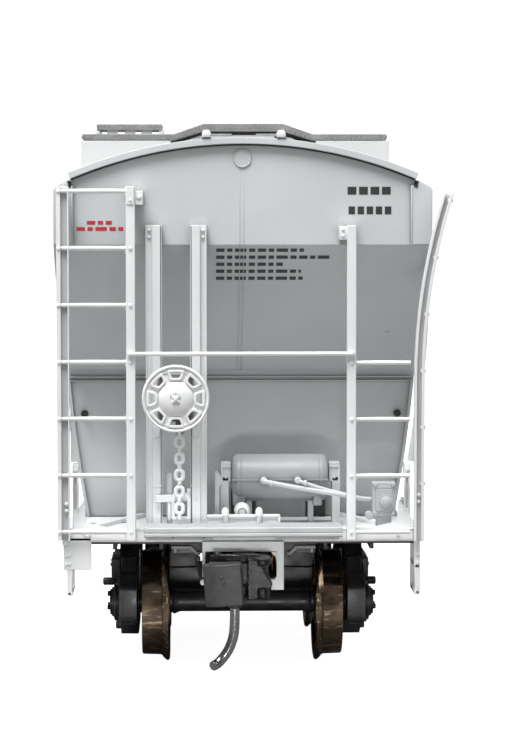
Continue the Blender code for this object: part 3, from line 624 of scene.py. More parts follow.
def end_panel():
    """The upper end panel up to the roof arc, its corner strips, seams and vent disc."""
    reach = 16.6
    arch = roof_arc(-reach, reach, ROOF_INNER - 0.14, 48)
    front = -PANEL_Y
    foot = CREASE_Z + 0.02
    solids = [prism(arch + [(reach, foot), (-reach, foot)], "Y", (front - 0.02, front + 1.6), 0)]
    for inner_x, outer_x in ((16.2, HALF_WIDTH - 0.06), (-16.45, 0.06 - HALF_WIDTH)):
        side = 1 if outer_x > 0 else -1
        outline = [
            (inner_x, CREASE_Z + 0.02),
            (outer_x - side * 0.1, CREASE_Z + 0.02),
            (outer_x, CREASE_Z + 0.4),
            (outer_x, 47.3),
            (side * 16.95, 48.1),
            (side * 16.85, 47.7),
            (inner_x, 47.8),
        ]
        solids.append(prism(outline, "Y", (front - 0.34, front + 0.8), 0.07))
        lip = sorted((inner_x, inner_x + side * 0.16))
        solids.append(box(lip, (front - 0.42, front), (CREASE_Z, 47.7), 0.05))
    solids.append(turned(
        [(0.0, front - 0.08), (0.74, front - 0.08), (0.78, front - 0.15), (0.86, front - 0.15),
         (0.9, front - 0.05), (0.9, front + 0.3), (0.0, front + 0.3)],
        "Y", (-0.08, 50.35), 40))
    for x in (-0.36, 0.02):
        solids.append(box((x, x + 0.08), (front - 0.045, front + 0.2), (CREASE_Z, 49.3), 0.02))
        down = [(front - 0.03, CREASE_Z - 0.03), (-BULKHEAD_Y - 0.03, FOLD_Z - 0.03),
                (-BULKHEAD_Y + 0.1, FOLD_Z + 0.1), (front + 0.1, CREASE_Z + 0.1)]
        solids.append(prism(down, "X", (x, x + 0.08), 0.02))
    return solids


def slope_details():
    """The fold between slope sheet and bulkhead, side flanges and a rivet."""
    y = -BULKHEAD_Y
    reach = half_width(FOLD_Z) - 0.4
    solids = [
        box((-reach, reach), (y - 0.3, y + 0.5), (28.28, 28.42), 0.05),
        box((-reach, reach), (y - 0.24, y + 0.5), (27.88, 28.02), 0.05),
        bolt((14.7, -PANEL_Y + CREASE_Z - 33.1, 33.1), "-Y", 0.2, 0.16, 12),
    ]
    for side in (-1, 1):
        heights = spaced(BODY_LOW_Z, 28.0, 12)
        outer = [(side * (half_width(z) - 0.02), z) for z in heights]
        inner = [(side * (half_width(z) - 0.36), z) for z in reversed(heights)]
        solids.append(prism(outer + inner, "Y", (y - 0.45, y + 0.5), 0.06))
    return solids


def shoulders():
    """The sloping top edge between the roof and the upright side."""
    side = HALF_WIDTH
    outline = [(16.9, 46.7), (side - 0.05, 46.7), (side, 47.3), (side - 0.2, 47.6), (16.95, 48.22)]
    right = prism(outline, "Y", (-PANEL_Y + 0.02, PANEL_Y - 0.02), 0.06)
    return [right, *mirrored([right])]


def dashes(low_x, high_x, z, height, widths=(0.8, 0.5, 1.1, 0.6), gap=0.26):
    """A broken line of plain marks across the end, flat on the panel or lying on the slope."""
    solids = []
    x = low_x
    while x < high_x - 0.1:
        wide = min(widths[len(solids) % len(widths)], high_x - x)
        low_y, high_y = -half_length(z), -half_length(z + height)
        outline = [(low_y - 0.04, z), (high_y - 0.04, z + height), (high_y + 0.1, z + height),
                   (low_y + 0.1, z)]
        solids.append(prism(outline, "X", (x, x + wide), 0))
        x += wide + gap
    return solids


def markings():
    """Rows of dashes where a real car carries its lettering."""
    rows = dashes(10.1, 14.3, 46.85, 0.75, (0.85,)) + dashes(10.2, 14.4, 44.95, 0.75, (0.62,))
    for number, high_x in enumerate((5.9, 8.6, 3.9, 5.7, 5.9)):
        rows += dashes(-2.6, high_x, 41.3 - 0.7 * number, 0.32)
    at_both_ends("black_marks", rows, BLACK_INK)
    rows = dashes(-15.1, -12.7, 43.95, 0.36) + dashes(-16.1, -11.6, 43.35, 0.36)
    at_both_ends("red_marks", rows, RED_INK)


def hopper_body():
    """The shell with its bays, weld beads, shoulders and ends, and black discs of painted shade where the
    bulkheads have openings.
    """
    heights = (
        spaced(BODY_LOW_Z, FOLD_Z, 12) + spaced(FOLD_Z, CREASE_Z, 10)[1:] + [EAVES_Z]
    )
    solids = [loft([(half_width(z), half_length(z), z) for z in heights], round_off=0.14)]
    for bay in (-1, 0, 1):
        levels = [(4.6, 3.4, 6.2), (5.2, 4.2, 7.2), (12.9, 17.2, 14.3)]
        solids.append(loft(levels, (0.0, bay * BAY_PITCH), 0.15))
        for y in (-3.9, 3.9):
            ridge = [(-4.9, 6.5), (4.9, 6.5), (12.0, 13.9), (-12.0, 13.9)]
            place = bay * BAY_PITCH + y * 0.5
            solids.append(prism(ridge, "Y", (place - 0.15, place + 0.15), 0.05, 1))
    seam = BAY_PITCH / 4
    beads = [side_bead(seam * i) for i in range(-8, 9) if i]
    solids += beads + mirrored(beads) + shoulders()
    lip_z = (BODY_LOW_Z - 0.25, BODY_LOW_Z + 0.45)
    edge = half_width(BODY_LOW_Z)
    lip = [box((edge - 0.3, edge + 0.35), (-BULKHEAD_Y, BULKHEAD_Y), lip_z, 0.1)]
    solids += lip + mirrored(lip)
    end = end_panel() + slope_details()
    solids += end + half_turned(end)
    # Painted shade: black discs stand on the bulkheads where the openings are
    holes = []
    for x in (-15.9, 16.0):
        holes.append(cylinder((x, 24.6), 0.36, "Y", (-BULKHEAD_Y - 0.55, -BULKHEAD_Y + 0.1), 20))
    piece("hopper_body", solids, WHITE, "body_shell")
    piece("bulkhead_hole_shade", holes + half_turned(holes), BLACK)


def curved_roof():
    """The roof sheet with its seams, and a black strip of painted shadow in the gap between it and the end
    panels.
    """
    outer = roof_arc(-ROOF_HALF, ROOF_HALF, ROOF_RADIUS, 72)
    inner = roof_arc(ROOF_HALF - 0.2, 0.2 - ROOF_HALF, ROOF_INNER, 72)
    solids = [prism(outer + inner, "Y", (-ROOF_END_Y, ROOF_END_Y), 0.09)]
    for i in range(-4, 5):
        y = i * BAY_PITCH / 2
        bead = roof_arc(-16.2, 16.2, ROOF_RADIUS + 0.06, 48)
        bead += roof_arc(16.2, -16.2, ROOF_RADIUS - 0.2, 48)
        solids.append(prism(bead, "Y", (y - 0.14, y + 0.14), 0.04, 1))
    piece("curved_roof", solids, WHITE, "roof")

    # Painted shadow: a black strip fills the gap under the roof's end, with hooks at the corners
    high = ROOF_INNER - 0.01
    reach = 16.72
    line = roof_arc(-reach, reach, high, 48) + roof_arc(reach, -reach, high - 0.15, 48)
    gap = [prism(line, "Y", (-PANEL_Y - 0.14, -PANEL_Y + 0.1), 0)]
    for side in (-1, 1):
        hook = [(16.5, 47.62), (16.85, 47.5), (16.93, 48.1), (16.8, 48.28), (16.76, 47.85), (16.5, 47.76)]
        gap.append(prism(on_side(side, hook), "Y", (-PANEL_Y - 0.4, -PANEL_Y), 0))
    piece("roof_gap_shadow", gap + half_turned(gap), BLACK)


def hatches():
    """Long covers over the loading trough: domed, ribbed, latched along both sides."""
    half, length = 5.2, 57.0
    foot = roof_arc(-half, half, ROOF_RADIUS + 0.12, 12)
    crown = both_halves([(half, 52.55), (4.9, 52.75), (4.3, 53.0), (3.0, 53.12)], (0.0, 53.2))
    reach = length / 2 - 0.5
    solids = [prism(foot + crown, "Y", (-reach, reach), 0.1)]
    rib = foot + both_halves([(half + 0.1, 52.7), (4.5, 53.2), (3.0, 53.35)], (0.0, 53.42))
    for y in (-27.4, -18.2, -9.1, 0.0, 9.1, 18.2, 27.4):
        solids.append(prism(rib, "Y", (y - 0.35, y + 0.35), 0.08))
    latches = []
    for y in (-22.8, -13.6, -4.5, 4.5, 13.6, 22.8):
        latches.append(box((half - 0.5, half + 0.45), (y - 0.5, y + 0.5), (52.0, 52.75), 0.1))
        latches.append(cylinder((y, 52.75), 0.22, "X", (half - 0.9, half + 0.5), 12))
    mesh = finished("hatch", solids + latches + mirrored(latches), WORN)
    three_along("hatch", mesh, WORN, "hatch_cover", length)


# Walks -------------------------------------------------------------------------------------


def grille(x, y, z, bars, rungs, thick=0.16):
    """An open grating: bars along y, round which finer cross rods are woven."""
    solids = []
    low, high = z
    for i, place in enumerate(spaced(x[0] + thick, x[1] - thick, bars)):
        wide = thick * (1.6 if i in (0, bars) else 0.8)
        solids.append(box((place - wide / 2, place + wide / 2), y, z, 0))
    for place in spaced(y[0] + thick, y[1] - thick, rungs):
        solids.append(box(x, (place - thick / 2, place + thick / 2), (low + 0.1, high - 0.06), 0))
    return solids


def roof_boards():
    """The two running boards on their brackets; one mesh serves both sides."""
    inner_x, outer_x, reach = 7.6, 13.8, 88.0
    solids = grille((inner_x, outer_x), (-reach, reach), (52.2, 52.64), 9, 150)
    feet = roof_arc(inner_x + 0.6, outer_x - 0.6, ROOF_RADIUS + 0.12, 4)
    bracket = feet + [(outer_x - 0.5, 52.2), (inner_x + 0.5, 52.2)]
    legs = []
    for y in spaced(-reach + 4, reach - 4, 7):
        legs.append(prism(bracket, "Y", (y - 0.25, y + 0.25), 0.08))
        legs.append(box((inner_x + 0.4, outer_x - 0.4), (y - 0.6, y + 0.6), (52.08, 52.22), 0.05))
    board = merged_mesh("board", solids)
    board.materials.append(GRATING)
    stand = merged_mesh("board_legs", legs)
    stand.materials.append(LIT_WHITE)
    for side, place in (("right", B_END), ("left", A_END)):
        piece(f"roof_board_{side}", [], GRATING, f"running_board_{side}", place=place, mesh=board)
        piece(f"roof_board_legs_{side}", [], LIT_WHITE, place=place, mesh=stand)


WALK_TOP = ((-15.6, 52.66), (-6.7, 52.66), (-3.8, 53.66), (3.8, 53.66), (6.7, 52.66), (13.9, 52.66))


def walk_z(x):
    for (x1, z1), (x2, z2) in zip(WALK_TOP, WALK_TOP[1:]):
        if x <= x2:
            return z1 + (z2 - z1) * (x - x1) / (x2 - x1)
    return WALK_TOP[-1][1]


def walk_strip(thick, y, top=0.0, round_off=0.04):
    """A strip that follows the walk's stepped outline."""
    left, right = WALK_TOP[0], WALK_TOP[-1]
    over = [(left[0] + 0.25, left[1]), *WALK_TOP[1:-1], (right[0] - 0.1, right[1])]
    over = [(x, z - top) for x, z in over]
    under = [(x, z - thick - (0.14 if z > 53 else 0.0)) for x, z in reversed(WALK_TOP[1:-1])]
    tips = [(right[0], right[1] - thick * 0.4), (right[0] - 0.15, right[1] - thick)]
    ends = [(left[0] + 0.2, left[1] - thick), (left[0], left[1] - thick * 0.5)]
    return prism(over + tips + under + ends, "Y", y, round_off, 1)


def crosswalks():
    """The stepped end walks of grating, their legs, and a black strip of painted shadow in the gap under
    them.
    """
    front, back = -97.5, -90.5
    solids = [walk_strip(0.62, (front, front + 0.3)), walk_strip(0.62, (back - 0.3, back))]
    for y in spaced(front + 0.9, back - 0.9, 6):
        solids.append(walk_strip(0.4, (y - 0.08, y + 0.08), 0.02, 0))
    for x in spaced(-15.4, 13.7, 60):
        z = walk_z(x)
        solids.append(box((x - 0.08, x + 0.08), (front - 0.04, back), (z - 0.46, z - 0.02), 0))
    tread = (-14.1, -7.8)
    solids += grille(tread, (-97.35, -92.6), (53.2, 53.6), 10, 6)
    solids.append(box(tread, (-97.45, -97.2), (52.98, 53.6), 0.08))
    solids.append(box(tread, (-92.6, -92.35), (52.98, 53.6), 0.08))
    at_both_ends("crosswalk_grating", solids, GRATING, "roof_crosswalk")

    legs = []
    for low, high in ((-15.62, -7.0), (7.0, 14.05)):
        web = roof_arc(low, high, ROOF_RADIUS - 0.3, 10) + [(high, 52.02), (low, 52.02)]
        for y in (-97.5, -91.2):
            legs.append(prism(web, "Y", (y, y + 0.4), 0.05))
    for x in (-3.55, 3.65):
        foot = arc_z(abs(x) + 0.45, ROOF_RADIUS) + 0.14
        arch = [(x - 0.46, foot), (x + 0.46, foot), (x + 0.44, 52.75), (x + 0.28, 53.04),
                (x - 0.28, 53.04), (x - 0.44, 52.75)]
        legs.append(prism(arch, "Y", (-97.75, -91.0), 0.1))
        side = 1 if x < 0 else -1
        legs.append(rod([(x, -97.2, 52.62), (x + side * 2.45, -97.2, 52.62)], 0.14, 10, 0.06))
        wing = [(x - side * 1.4, 52.05), (x, 52.2), (x, 52.5), (x - side * 1.1, 52.3)]
        legs.append(prism(wing, "Y", (-97.25, -96.9), 0.05))
    for x in (-14.0, -7.9):
        legs.append(box((x - 0.22, x + 0.22), (-97.4, -92.4), (52.5, 53.1), 0.08))
    for x in (-12.6, -10.9, -9.3):
        legs.append(box((x - 0.5, x + 0.5), (-97.3, -96.9), (52.6, 53.1), 0.1))
    at_both_ends("crosswalk_legs", legs, LIT_WHITE)

    # Painted shadow: a black strip lies in the gap under the walk
    dark = [walk_strip(0.14, (-97.24, -90.8), 0.0, 0)]
    bmesh.ops.translate(dark[0], vec=(0, 0, -0.68), verts=dark[0].verts)
    at_both_ends("crosswalk_gap_shadow", dark, BLACK)


def platforms():
    """The crossover step: a ridged white tread on two brackets."""
    back, front = -99.05, -102.2
    x = (-9.6, 9.4)
    profile = [
        (back, 15.1), (front + 0.1, 15.1), (front, 15.03), (front, 14.62), (front + 0.08, 14.56),
        (front - 0.06, 14.5), (front - 0.06, 14.24), (front + 0.1, 14.16),
        (front + 0.5, 14.16), (front + 0.55, 14.5), (back, 14.5),
    ]
    solids = [prism(profile, "X", x, 0.05)]
    for place in spaced(front + 0.35, back - 0.15, 6):
        solids.append(box((x[0] + 0.1, x[1] - 0.1), (place - 0.07, place + 0.07), (15.0, 15.16), 0.03))
    for side in (x[0], x[1] - 0.4):
        solids.append(box((side, side + 0.4), (front + 0.02, back), (14.18, 15.12), 0.07))
    for low, high in ((-9.4, -3.0), (3.1, 9.2)):
        solids.append(box((low, high), (back - 0.5, back), (13.6, 14.9)))
    for place in (-8.95, -8.3, -7.3, 8.6):
        solids.append(bolt((place, back - 0.5, 13.95), "-Y", 0.24, 0.3, 12))
    at_both_ends("platform", solids, WORN, "crossover_platform")
    dark = [bolt((place, back - 0.5, 13.95), "-Y", 0.2, 0.2, 10) for place in (-3.9, -6.9)]
    at_both_ends("platform_recess", dark, BLACK)


# Ladders -----------------------------------------------------------------------------------


def round_rung(low_x, high_x, z, y=LADDER_FRONT + 0.32, radius=0.215):
    """A round rung, a little fuller in the middle, with a washer and a nut at each end."""
    middle = (low_x + high_x) / 2
    profile = [
        (0.0, low_x - 0.1), (radius * 0.95, low_x - 0.1), (radius * 0.95, low_x + 0.3),
        (radius, low_x + 0.8), (radius * 1.1, middle), (radius, high_x - 0.8),
        (radius * 0.95, high_x - 0.3), (radius * 0.95, high_x + 0.1), (0.0, high_x + 0.1),
    ]
    return turned(profile, "X", (y, z), 16)


def gusset(x, z, side, drop, size=0.5, y=(LADDER_FRONT + 0.2, LADDER_FRONT + 0.45)):
    """A small web in the corner between a stile's side and a rung."""
    fillet = [(x, z), (x, z + drop * size), (x + side * size * 0.3, z + drop * size * 0.35),
              (x + side * size, z)]
    return prism(fillet, "Y", y, 0.04)


def channel(outer_x, inner_x, flange, web_y, y, z, deep=0.42):
    """An upright channel with its open side to the front: two flanges and a web set back."""
    low, high = sorted((outer_x, inner_x))
    outline = [
        (low, y[0]), (low + flange[0], y[0]), (low + flange[0], y[0] + deep),
        (high - flange[1], y[0] + deep), (high - flange[1], y[0] + web_y), (high, y[0] + web_y),
        (high, y[1]), (low, y[1]),
    ]
    return prism(outline, "Z", z, 0.05)


def left_ladder():
    """The full height end ladder."""
    front, back = LADDER_FRONT, LADDER_BACK
    z = (13.55, 47.6)
    solids = [
        channel(-17.95, -16.75, (0.42, 0.14), 0.1, (front, back), z, 0.62),
        box((-11.3, -10.42), (front, back), z, 0.09),
        box((-11.22, -10.5), (front - 0.1, front + 0.2), (45.9, 47.62)),
        box((-10.6, -9.64), (front + 0.3, PANEL_FACE), (45.86, 47.2), 0.09),
        box((-11.2, -10.5), (back - 0.1, PANEL_FACE), (45.9, 47.2)),
        box((-17.6, -17.0), (back - 0.1, PANEL_FACE - 0.3), (45.2, 46.6)),
        bolt((-10.02, front + 0.3, 46.6), "-Y", 0.24, 0.14, 14),
        bolt((-10.86, front - 0.1, 46.3), "-Y", 0.14, 0.1, 10),
    ]
    for number in range(7):
        height = TOP_RUNG_Z - number * RUNG_PITCH
        solids.append(round_rung(-17.7, -10.6, height))
        solids.append(gusset(-11.25, height - 0.14, -1, -1))
        solids.append(gusset(-11.25, height + 0.14, -1, 1, 0.35))
        for x in (-17.72, -10.86):
            solids.append(bolt((x, front, height), "-Y", 0.19, 0.12, 8))
    for height in (17.1, 16.45):
        solids.append(bolt((-17.1, front + 0.5, height), "-Y", 0.2, 0.26, 12))
    at_both_ends("left_ladder", solids, LIT_WHITE, "end_ladder_left")
    # Painted shade: the channel's web is in the lightly shaded copy of the paint
    web = [channel(-17.56, -16.86, (0.06, 0.06), 0.02, (front + 0.5, back - 0.1),
                   (z[0] + 0.05, z[1] - 0.08), 0.05)]
    at_both_ends("ladder_web", web, SHADE_PALE)


def right_ladder():
    """The short end ladder, and the rail across to the left ladder."""
    front, back = LADDER_FRONT, LADDER_BACK
    rail_y, rail_z = front - 0.24, 31.6
    solids = [
        box((9.92, 10.8), (front, back), (13.55, POST_TOP_Z), 0.09),
        box((9.2, 10.1), (front + 0.3, PANEL_FACE), (42.5, 43.8), 0.09),
        box((10.0, 10.8), (back - 0.1, PANEL_FACE), (42.5, 43.8)),
        bolt((9.52, front + 0.3, 43.5), "-Y", 0.15, 0.12, 12),
        bolt((9.52, front + 0.3, 42.9), "-Y", 0.15, 0.12, 12),
        rod([(-10.9, rail_y, rail_z), (10.45, rail_y, rail_z)], 0.21, 16, 0.05),
    ]
    for x in (-10.86, 10.36):
        solids.append(cylinder((x, rail_z), 0.3, "Y", (rail_y - 0.1, front + 0.12), 14))
        solids.append(bolt((x, rail_y - 0.1, rail_z), "-Y", 0.16, 0.12, 8))
    for number in range(3, 7):
        height = TOP_RUNG_Z - 0.1 - number * RUNG_PITCH
        solids.append(round_rung(10.6, 15.95, height))
        solids.append(gusset(10.75, height - 0.14, 1, -1))
        solids.append(gusset(10.75, height + 0.14, 1, 1, 0.35))
        solids.append(bolt((10.36, front, height), "-Y", 0.19, 0.12, 8))
    at_both_ends("right_ladder", solids, LIT_WHITE, "end_ladder_right")


def stile_x(z):
    """The outer face of the side ladder's stiles: upright, then leaning out towards the roof."""
    rise = max(0.0, z - LEAN_Z)
    return STILE_X + LEAN_RADIUS - math.sqrt(LEAN_RADIUS**2 - rise**2)


def stile_strip(outer, inner, y, foot_z, top_z=46.6):
    """A strip of the bent stile between two depths in from its outer face."""
    heights = [foot_z] + spaced(LEAN_Z, top_z, 16)
    right = [(stile_x(z) - outer, z) for z in heights]
    left = [(stile_x(z) - inner, z) for z in reversed(heights)]
    tip = [
        (stile_x(top_z + 0.45) - outer - (inner - outer) * 0.12, top_z + 0.42),
        (stile_x(top_z + 0.45) - inner + (inner - outer) * 0.25, top_z + 0.42),
    ]
    return prism(right + tip + left, "Y", y, 0.05)


def ladder_on_side():
    """The side ladder, which leans out to the roof, with the stile that the end rungs share."""
    front, rear = (LADDER_FRONT, LADDER_BACK), (-95.7, -95.0)
    solids = [
        stile_strip(0.0, 0.3, front, 13.4),
        stile_strip(0.74, 1.0, front, 13.4),
        stile_strip(0.0, 1.0, (front[0] + 0.5, front[1]), 13.4, 46.7),
        stile_strip(0.0, 0.33, rear, DECK_TOP_Z),
    ]
    for number in range(6):
        z = TOP_RUNG_Z - 0.9 - number * RUNG_PITCH
        x = stile_x(z) - 0.24
        solids.append(rod([(x, front[0] + 0.2, z), (x, rear[1] - 0.05, z)], 0.19, 14, 0.05))
        solids.append(bolt((stile_x(z) - 0.02, front[0] + 0.45, z), "X", 0.17, 0.16, 8))
    side = HALF_WIDTH + 0.08
    arm = (side, stile_x(41.3) - 0.2)
    solids.append(box(arm, (rear[0] - 0.2, rear[1]), (41.0, 41.6), 0.08))
    for z in (17.9, 17.25):
        solids.append(bolt((stile_x(z) - 0.56, front[0] + 0.38, z), "-Y", 0.2, 0.26, 12))
    at_both_ends("ladder_on_side", solids, LIT_WHITE, "side_ladder")
    # Painted shade: the stile's web is in the lightly shaded copy of the paint
    web = [stile_strip(0.28, 0.76, (front[0] + 0.4, front[0] + 0.6), 13.5, 46.4)]
    at_both_ends("stile_web", web, SHADE_PALE)


def corner_rails():
    """The grab irons behind the ladders at both corners, with the gussets at their feet."""
    solids = []
    for side, foot in ((-1, -16.55), (1, 16.15)):
        low, high = sorted((foot, foot + side * -0.62))
        y = (-98.9, -98.3)
        solids += [
            box((low, high), (y[0], y[1] + 1.0), (19.6, 20.9), 0.08),
            channel(low, high, (0.16, 0.2), 0.0, y, (16.3, 20.0), 0.4),
            bolt(((low + high) / 2, y[0], 20.3), "-Y", 0.18, 0.14, 10),
        ]
        plate = [(foot, 14.4), (foot, 16.5), (foot - side * 0.55, 16.55), (foot - side * 1.15, 17.5),
                 (foot - side * 1.25, 15.8), (foot - side * 1.4, 15.2), (foot - side * 4.2, 14.55)]
        solids.append(prism(plate, "Y", (-98.75, -98.5), 0.05))
        wedge = [(16.75, 26.8), (16.75, 21.0), (15.9, 21.0), (16.35, 24.0), (16.6, 26.0)]
        solids.append(prism(on_side(side, wedge), "Y", (-97.9, -97.6), 0.05))
        heights = spaced(24.0, 36.9, 12)
        edge = [(side * (half_width(z) - 0.3), z) for z in heights]
        edge += [(side * (half_width(z) - 0.62), z) for z in reversed(heights)]
        solids.append(prism(edge, "Y", (-98.3, -97.5), 0.05))
    at_both_ends("corner_rails", solids, LIT_WHITE)


# Hand brake --------------------------------------------------------------------------------


def brake_posts():
    """The two posts that carry the hand brake, with their cross plates."""
    front, back = -98.15, -97.4
    z = (DECK_TOP_Z, POST_TOP_Z)
    solids = []
    for outer, inner in ((-9.44, -7.88), (-3.56, -5.16)):
        side = 1 if inner > outer else -1
        face = sorted((outer + side * 0.62, inner))
        strip = sorted((outer, outer + side * 0.9))
        solids += [
            box(face, (front, front + 0.3), z, 0.07),
            box(strip, (front + 0.42, back), z, 0.05),
            box(sorted((outer, outer + side * 0.12)), (front + 0.2, back), z, 0.04),
            box(sorted((inner - side * 0.2, inner)), (front, back), z, 0.05),
            box(sorted((outer, inner)), (back - 0.2, PANEL_FACE), (42.3, POST_TOP_Z), 0.07),
            bolt((outer + side * 0.34, front + 0.42, 43.4), "-Y", 0.17, 0.2, 12),
            bolt((outer + side * 0.34, front + 0.42, 42.75), "-Y", 0.17, 0.2, 12),
            bolt(((outer + inner) / 2 + side * 0.3, front, 17.4), "-Y", 0.13, 0.1, 10),
        ]
        for height in (23.3, 18.6):
            solids.append(box(face, (front - 0.08, front + 0.1), (height, height + 0.14), 0.04))
        lug = [(face[0] + 0.1, 24.5), (face[1] - 0.1, 24.5), (face[1] - 0.25, 23.5), (face[0] + 0.25, 23.5)]
        solids.append(prism(lug, "Y", (front - 0.45, front + 0.1), 0.08))
    solids.append(box((-9.4, -3.6), (back - 0.3, back), (25.2, 29.6), 0.07))
    solids.append(box((-9.4, -3.6), (back - 0.25, back), (17.1, 17.8), 0.07))
    piece("brake_posts", solids, LIT_WHITE, "brake_stand")


def brake_gearbox():
    """The housing behind the hand wheel."""
    x, _, z = HAND_WHEEL
    solids = [
        box((-8.3, -4.8), (-99.2, -98.2), (25.0, 29.7), 0.3, 4),
        box((-8.0, -5.1), (-99.32, -98.6), (25.3, 29.4), 0.2, 3),
        turned([(0.0, -99.0), (1.75, -99.0), (1.75, -99.6), (1.55, -99.9), (0.0, -99.9)], "Y", (x, z), 40),
        box((-6.6, -5.7), (-99.5, -98.3), (23.8, 25.2), 0.18, 3),
    ]
    for bx in (-7.9, -5.2):
        for bz in (25.4, 29.3):
            solids.append(bolt((bx, -99.2, bz), "-Y", 0.19, 0.16, 10))
    # Painted shade: the housing is in the grey shaded copy of the paint
    piece("brake_gearbox", solids, SHADE_GREY, "brake_housing")


def window_corners(inner, outer, spread_in, spread_out, turn):
    corners = [
        (inner, -spread_in), (inner, spread_in), (outer * 0.985, spread_out), (outer, spread_out * 0.5),
        (outer, -spread_out * 0.5), (outer * 0.985, -spread_out),
    ]
    spin = Matrix.Rotation(turn, 2)
    return [tuple(spin @ Vector(corner)) for corner in corners]


def ring_around(outline, hole, y):
    """A raised rim: the wall between two outlines with the same number of corners."""
    bm = bmesh.new()
    rows = []
    for along in y:
        rows.append([bm.verts.new((a, along, b)) for a, b in outline])
        rows.append([bm.verts.new((a, along, b)) for a, b in hole])
    outer_low, hole_low, outer_high, hole_high = rows
    bridge(bm, [(outer_low, outer_high), (hole_low, hole_high), (outer_low, hole_low),
                (outer_high, hole_high)])
    return rounded(outward(bm), 0.035, 2, 40)


def eased(points, share=0.28):
    """The outline with each corner cut to a short curve."""
    result = []
    for i, point in enumerate(points):
        before, here, after = Vector(points[i - 1]), Vector(point), Vector(points[(i + 1) % len(points)])
        result.append(tuple(here.lerp(before, share)))
        result.append(tuple(here.lerp((before + after) / 2, share * 0.35)))
        result.append(tuple(here.lerp(after, share)))
    return result


def spider(outer_radius, hub_radius, y):
    """The wheel's plate: a flat ring cut by eight eased windows."""
    bm = bmesh.new()
    loops = []
    for along in y:
        edge = [bm.verts.new((a, along, b)) for a, b in circle((0, 0), outer_radius, 96)]
        hub = [bm.verts.new((a, along, b)) for a, b in circle((0, 0), hub_radius, 48)]
        holes = []
        for i in range(8):
            outline = eased(window_corners(1.96, 2.56, 0.36, 0.58, i * WINDOW_TURN))
            holes.append([bm.verts.new((a, along, b)) for a, b in outline])
        loops.append((edge, hub, holes))
        rims = []
        for loop in (edge, hub, *holes):
            rims += closed_rim(bm, loop)
        bmesh.ops.triangle_fill(bm, use_beauty=True, use_dissolve=False, edges=rims)
    (edge_a, hub_a, holes_a), (edge_b, hub_b, holes_b) = loops
    bridge(bm, [(edge_a, edge_b), (hub_a, hub_b), *zip(holes_a, holes_b)])
    return outward(bm)


def hand_wheel():
    """A dished wheel: rolled rim, eight rimmed windows, domed hub and a lobed nut."""
    reach = 3.25
    rim = [
        (reach - 0.34, -0.1), (reach - 0.06, -0.04), (reach, -0.2), (reach - 0.02, -0.5),
        (reach - 0.14, -0.62), (reach - 0.28, -0.56), (reach - 0.36, -0.4),
    ]
    dome = [
        (0.0, 0.0), (1.4, 0.0), (1.75, -0.3), (1.7, -0.46), (1.5, -0.62), (1.15, -0.76),
        (0.8, -0.84), (0.56, -0.86), (0.5, -0.78), (0.0, -0.78),
    ]
    rolled = [(reach - 0.42, -0.3), (reach - 0.5, -0.5), (reach - 0.6, -0.5), (reach - 0.62, -0.3)]
    solids = [
        turned(rim, "Y", (0, 0), 96, ring=True),
        turned(dome, "Y", (0, 0), 64),
        turned(rolled, "Y", (0, 0), 96, ring=True),
        spider(reach - 0.2, 1.2, (-0.4, -0.12)),
        turned([(0.0, 1.35), (0.4, 1.35), (0.4, -0.3), (0.0, -0.3)], "Y", (0, 0), 24),
        turned([(0.0, -0.7), (0.2, -0.7), (0.2, -1.08), (0.12, -1.16), (0.0, -1.16)], "Y", (0, 0), 20),
    ]
    for i in range(8):
        turn = i * WINDOW_TURN
        outline = eased(window_corners(1.74, 2.8, 0.57, 0.85, turn))
        hole = eased(window_corners(1.98, 2.54, 0.35, 0.57, turn))
        solids.append(ring_around(outline, hole, (-0.6, -0.3)))
    for i in range(4):
        turn = math.pi / 4 + i * math.pi / 2
        spot = (0.31 * math.cos(turn), 0.31 * math.sin(turn))
        solids.append(cylinder(spot, 0.18, "Y", (-1.0, -0.7), 16, 0.06))
    place = Matrix.Translation(Vector(HAND_WHEEL) * MM)
    # Painted light: the wheel is in the brightest copy of the paint
    piece("hand_wheel", solids, LIT_BRAKE_WHITE, "brake_wheel", "brake_wheel", place=place)


def torus(centre, stretch, radii, wire, count=28):
    """An oval link in the plane across y: its centre line and its round wire."""
    bm = bmesh.new()
    loops = []
    for i in range(count):
        angle = 2 * math.pi * i / count
        out = Vector((math.cos(angle), 0, math.sin(angle)))
        mid = Vector((radii * math.cos(angle), 0, radii * math.sin(angle)))
        mid.z += stretch if math.sin(angle) > 0 else -stretch
        loop = []
        for a, b in circle((0, 0), wire, 10):
            loop.append(bm.verts.new(Vector(centre) + mid + out * a + Vector((0, b, 0))))
        loops.append(loop)
    bridge(bm, [*zip(loops, loops[1:]), (loops[-1], loops[0])])
    return outward(bm)


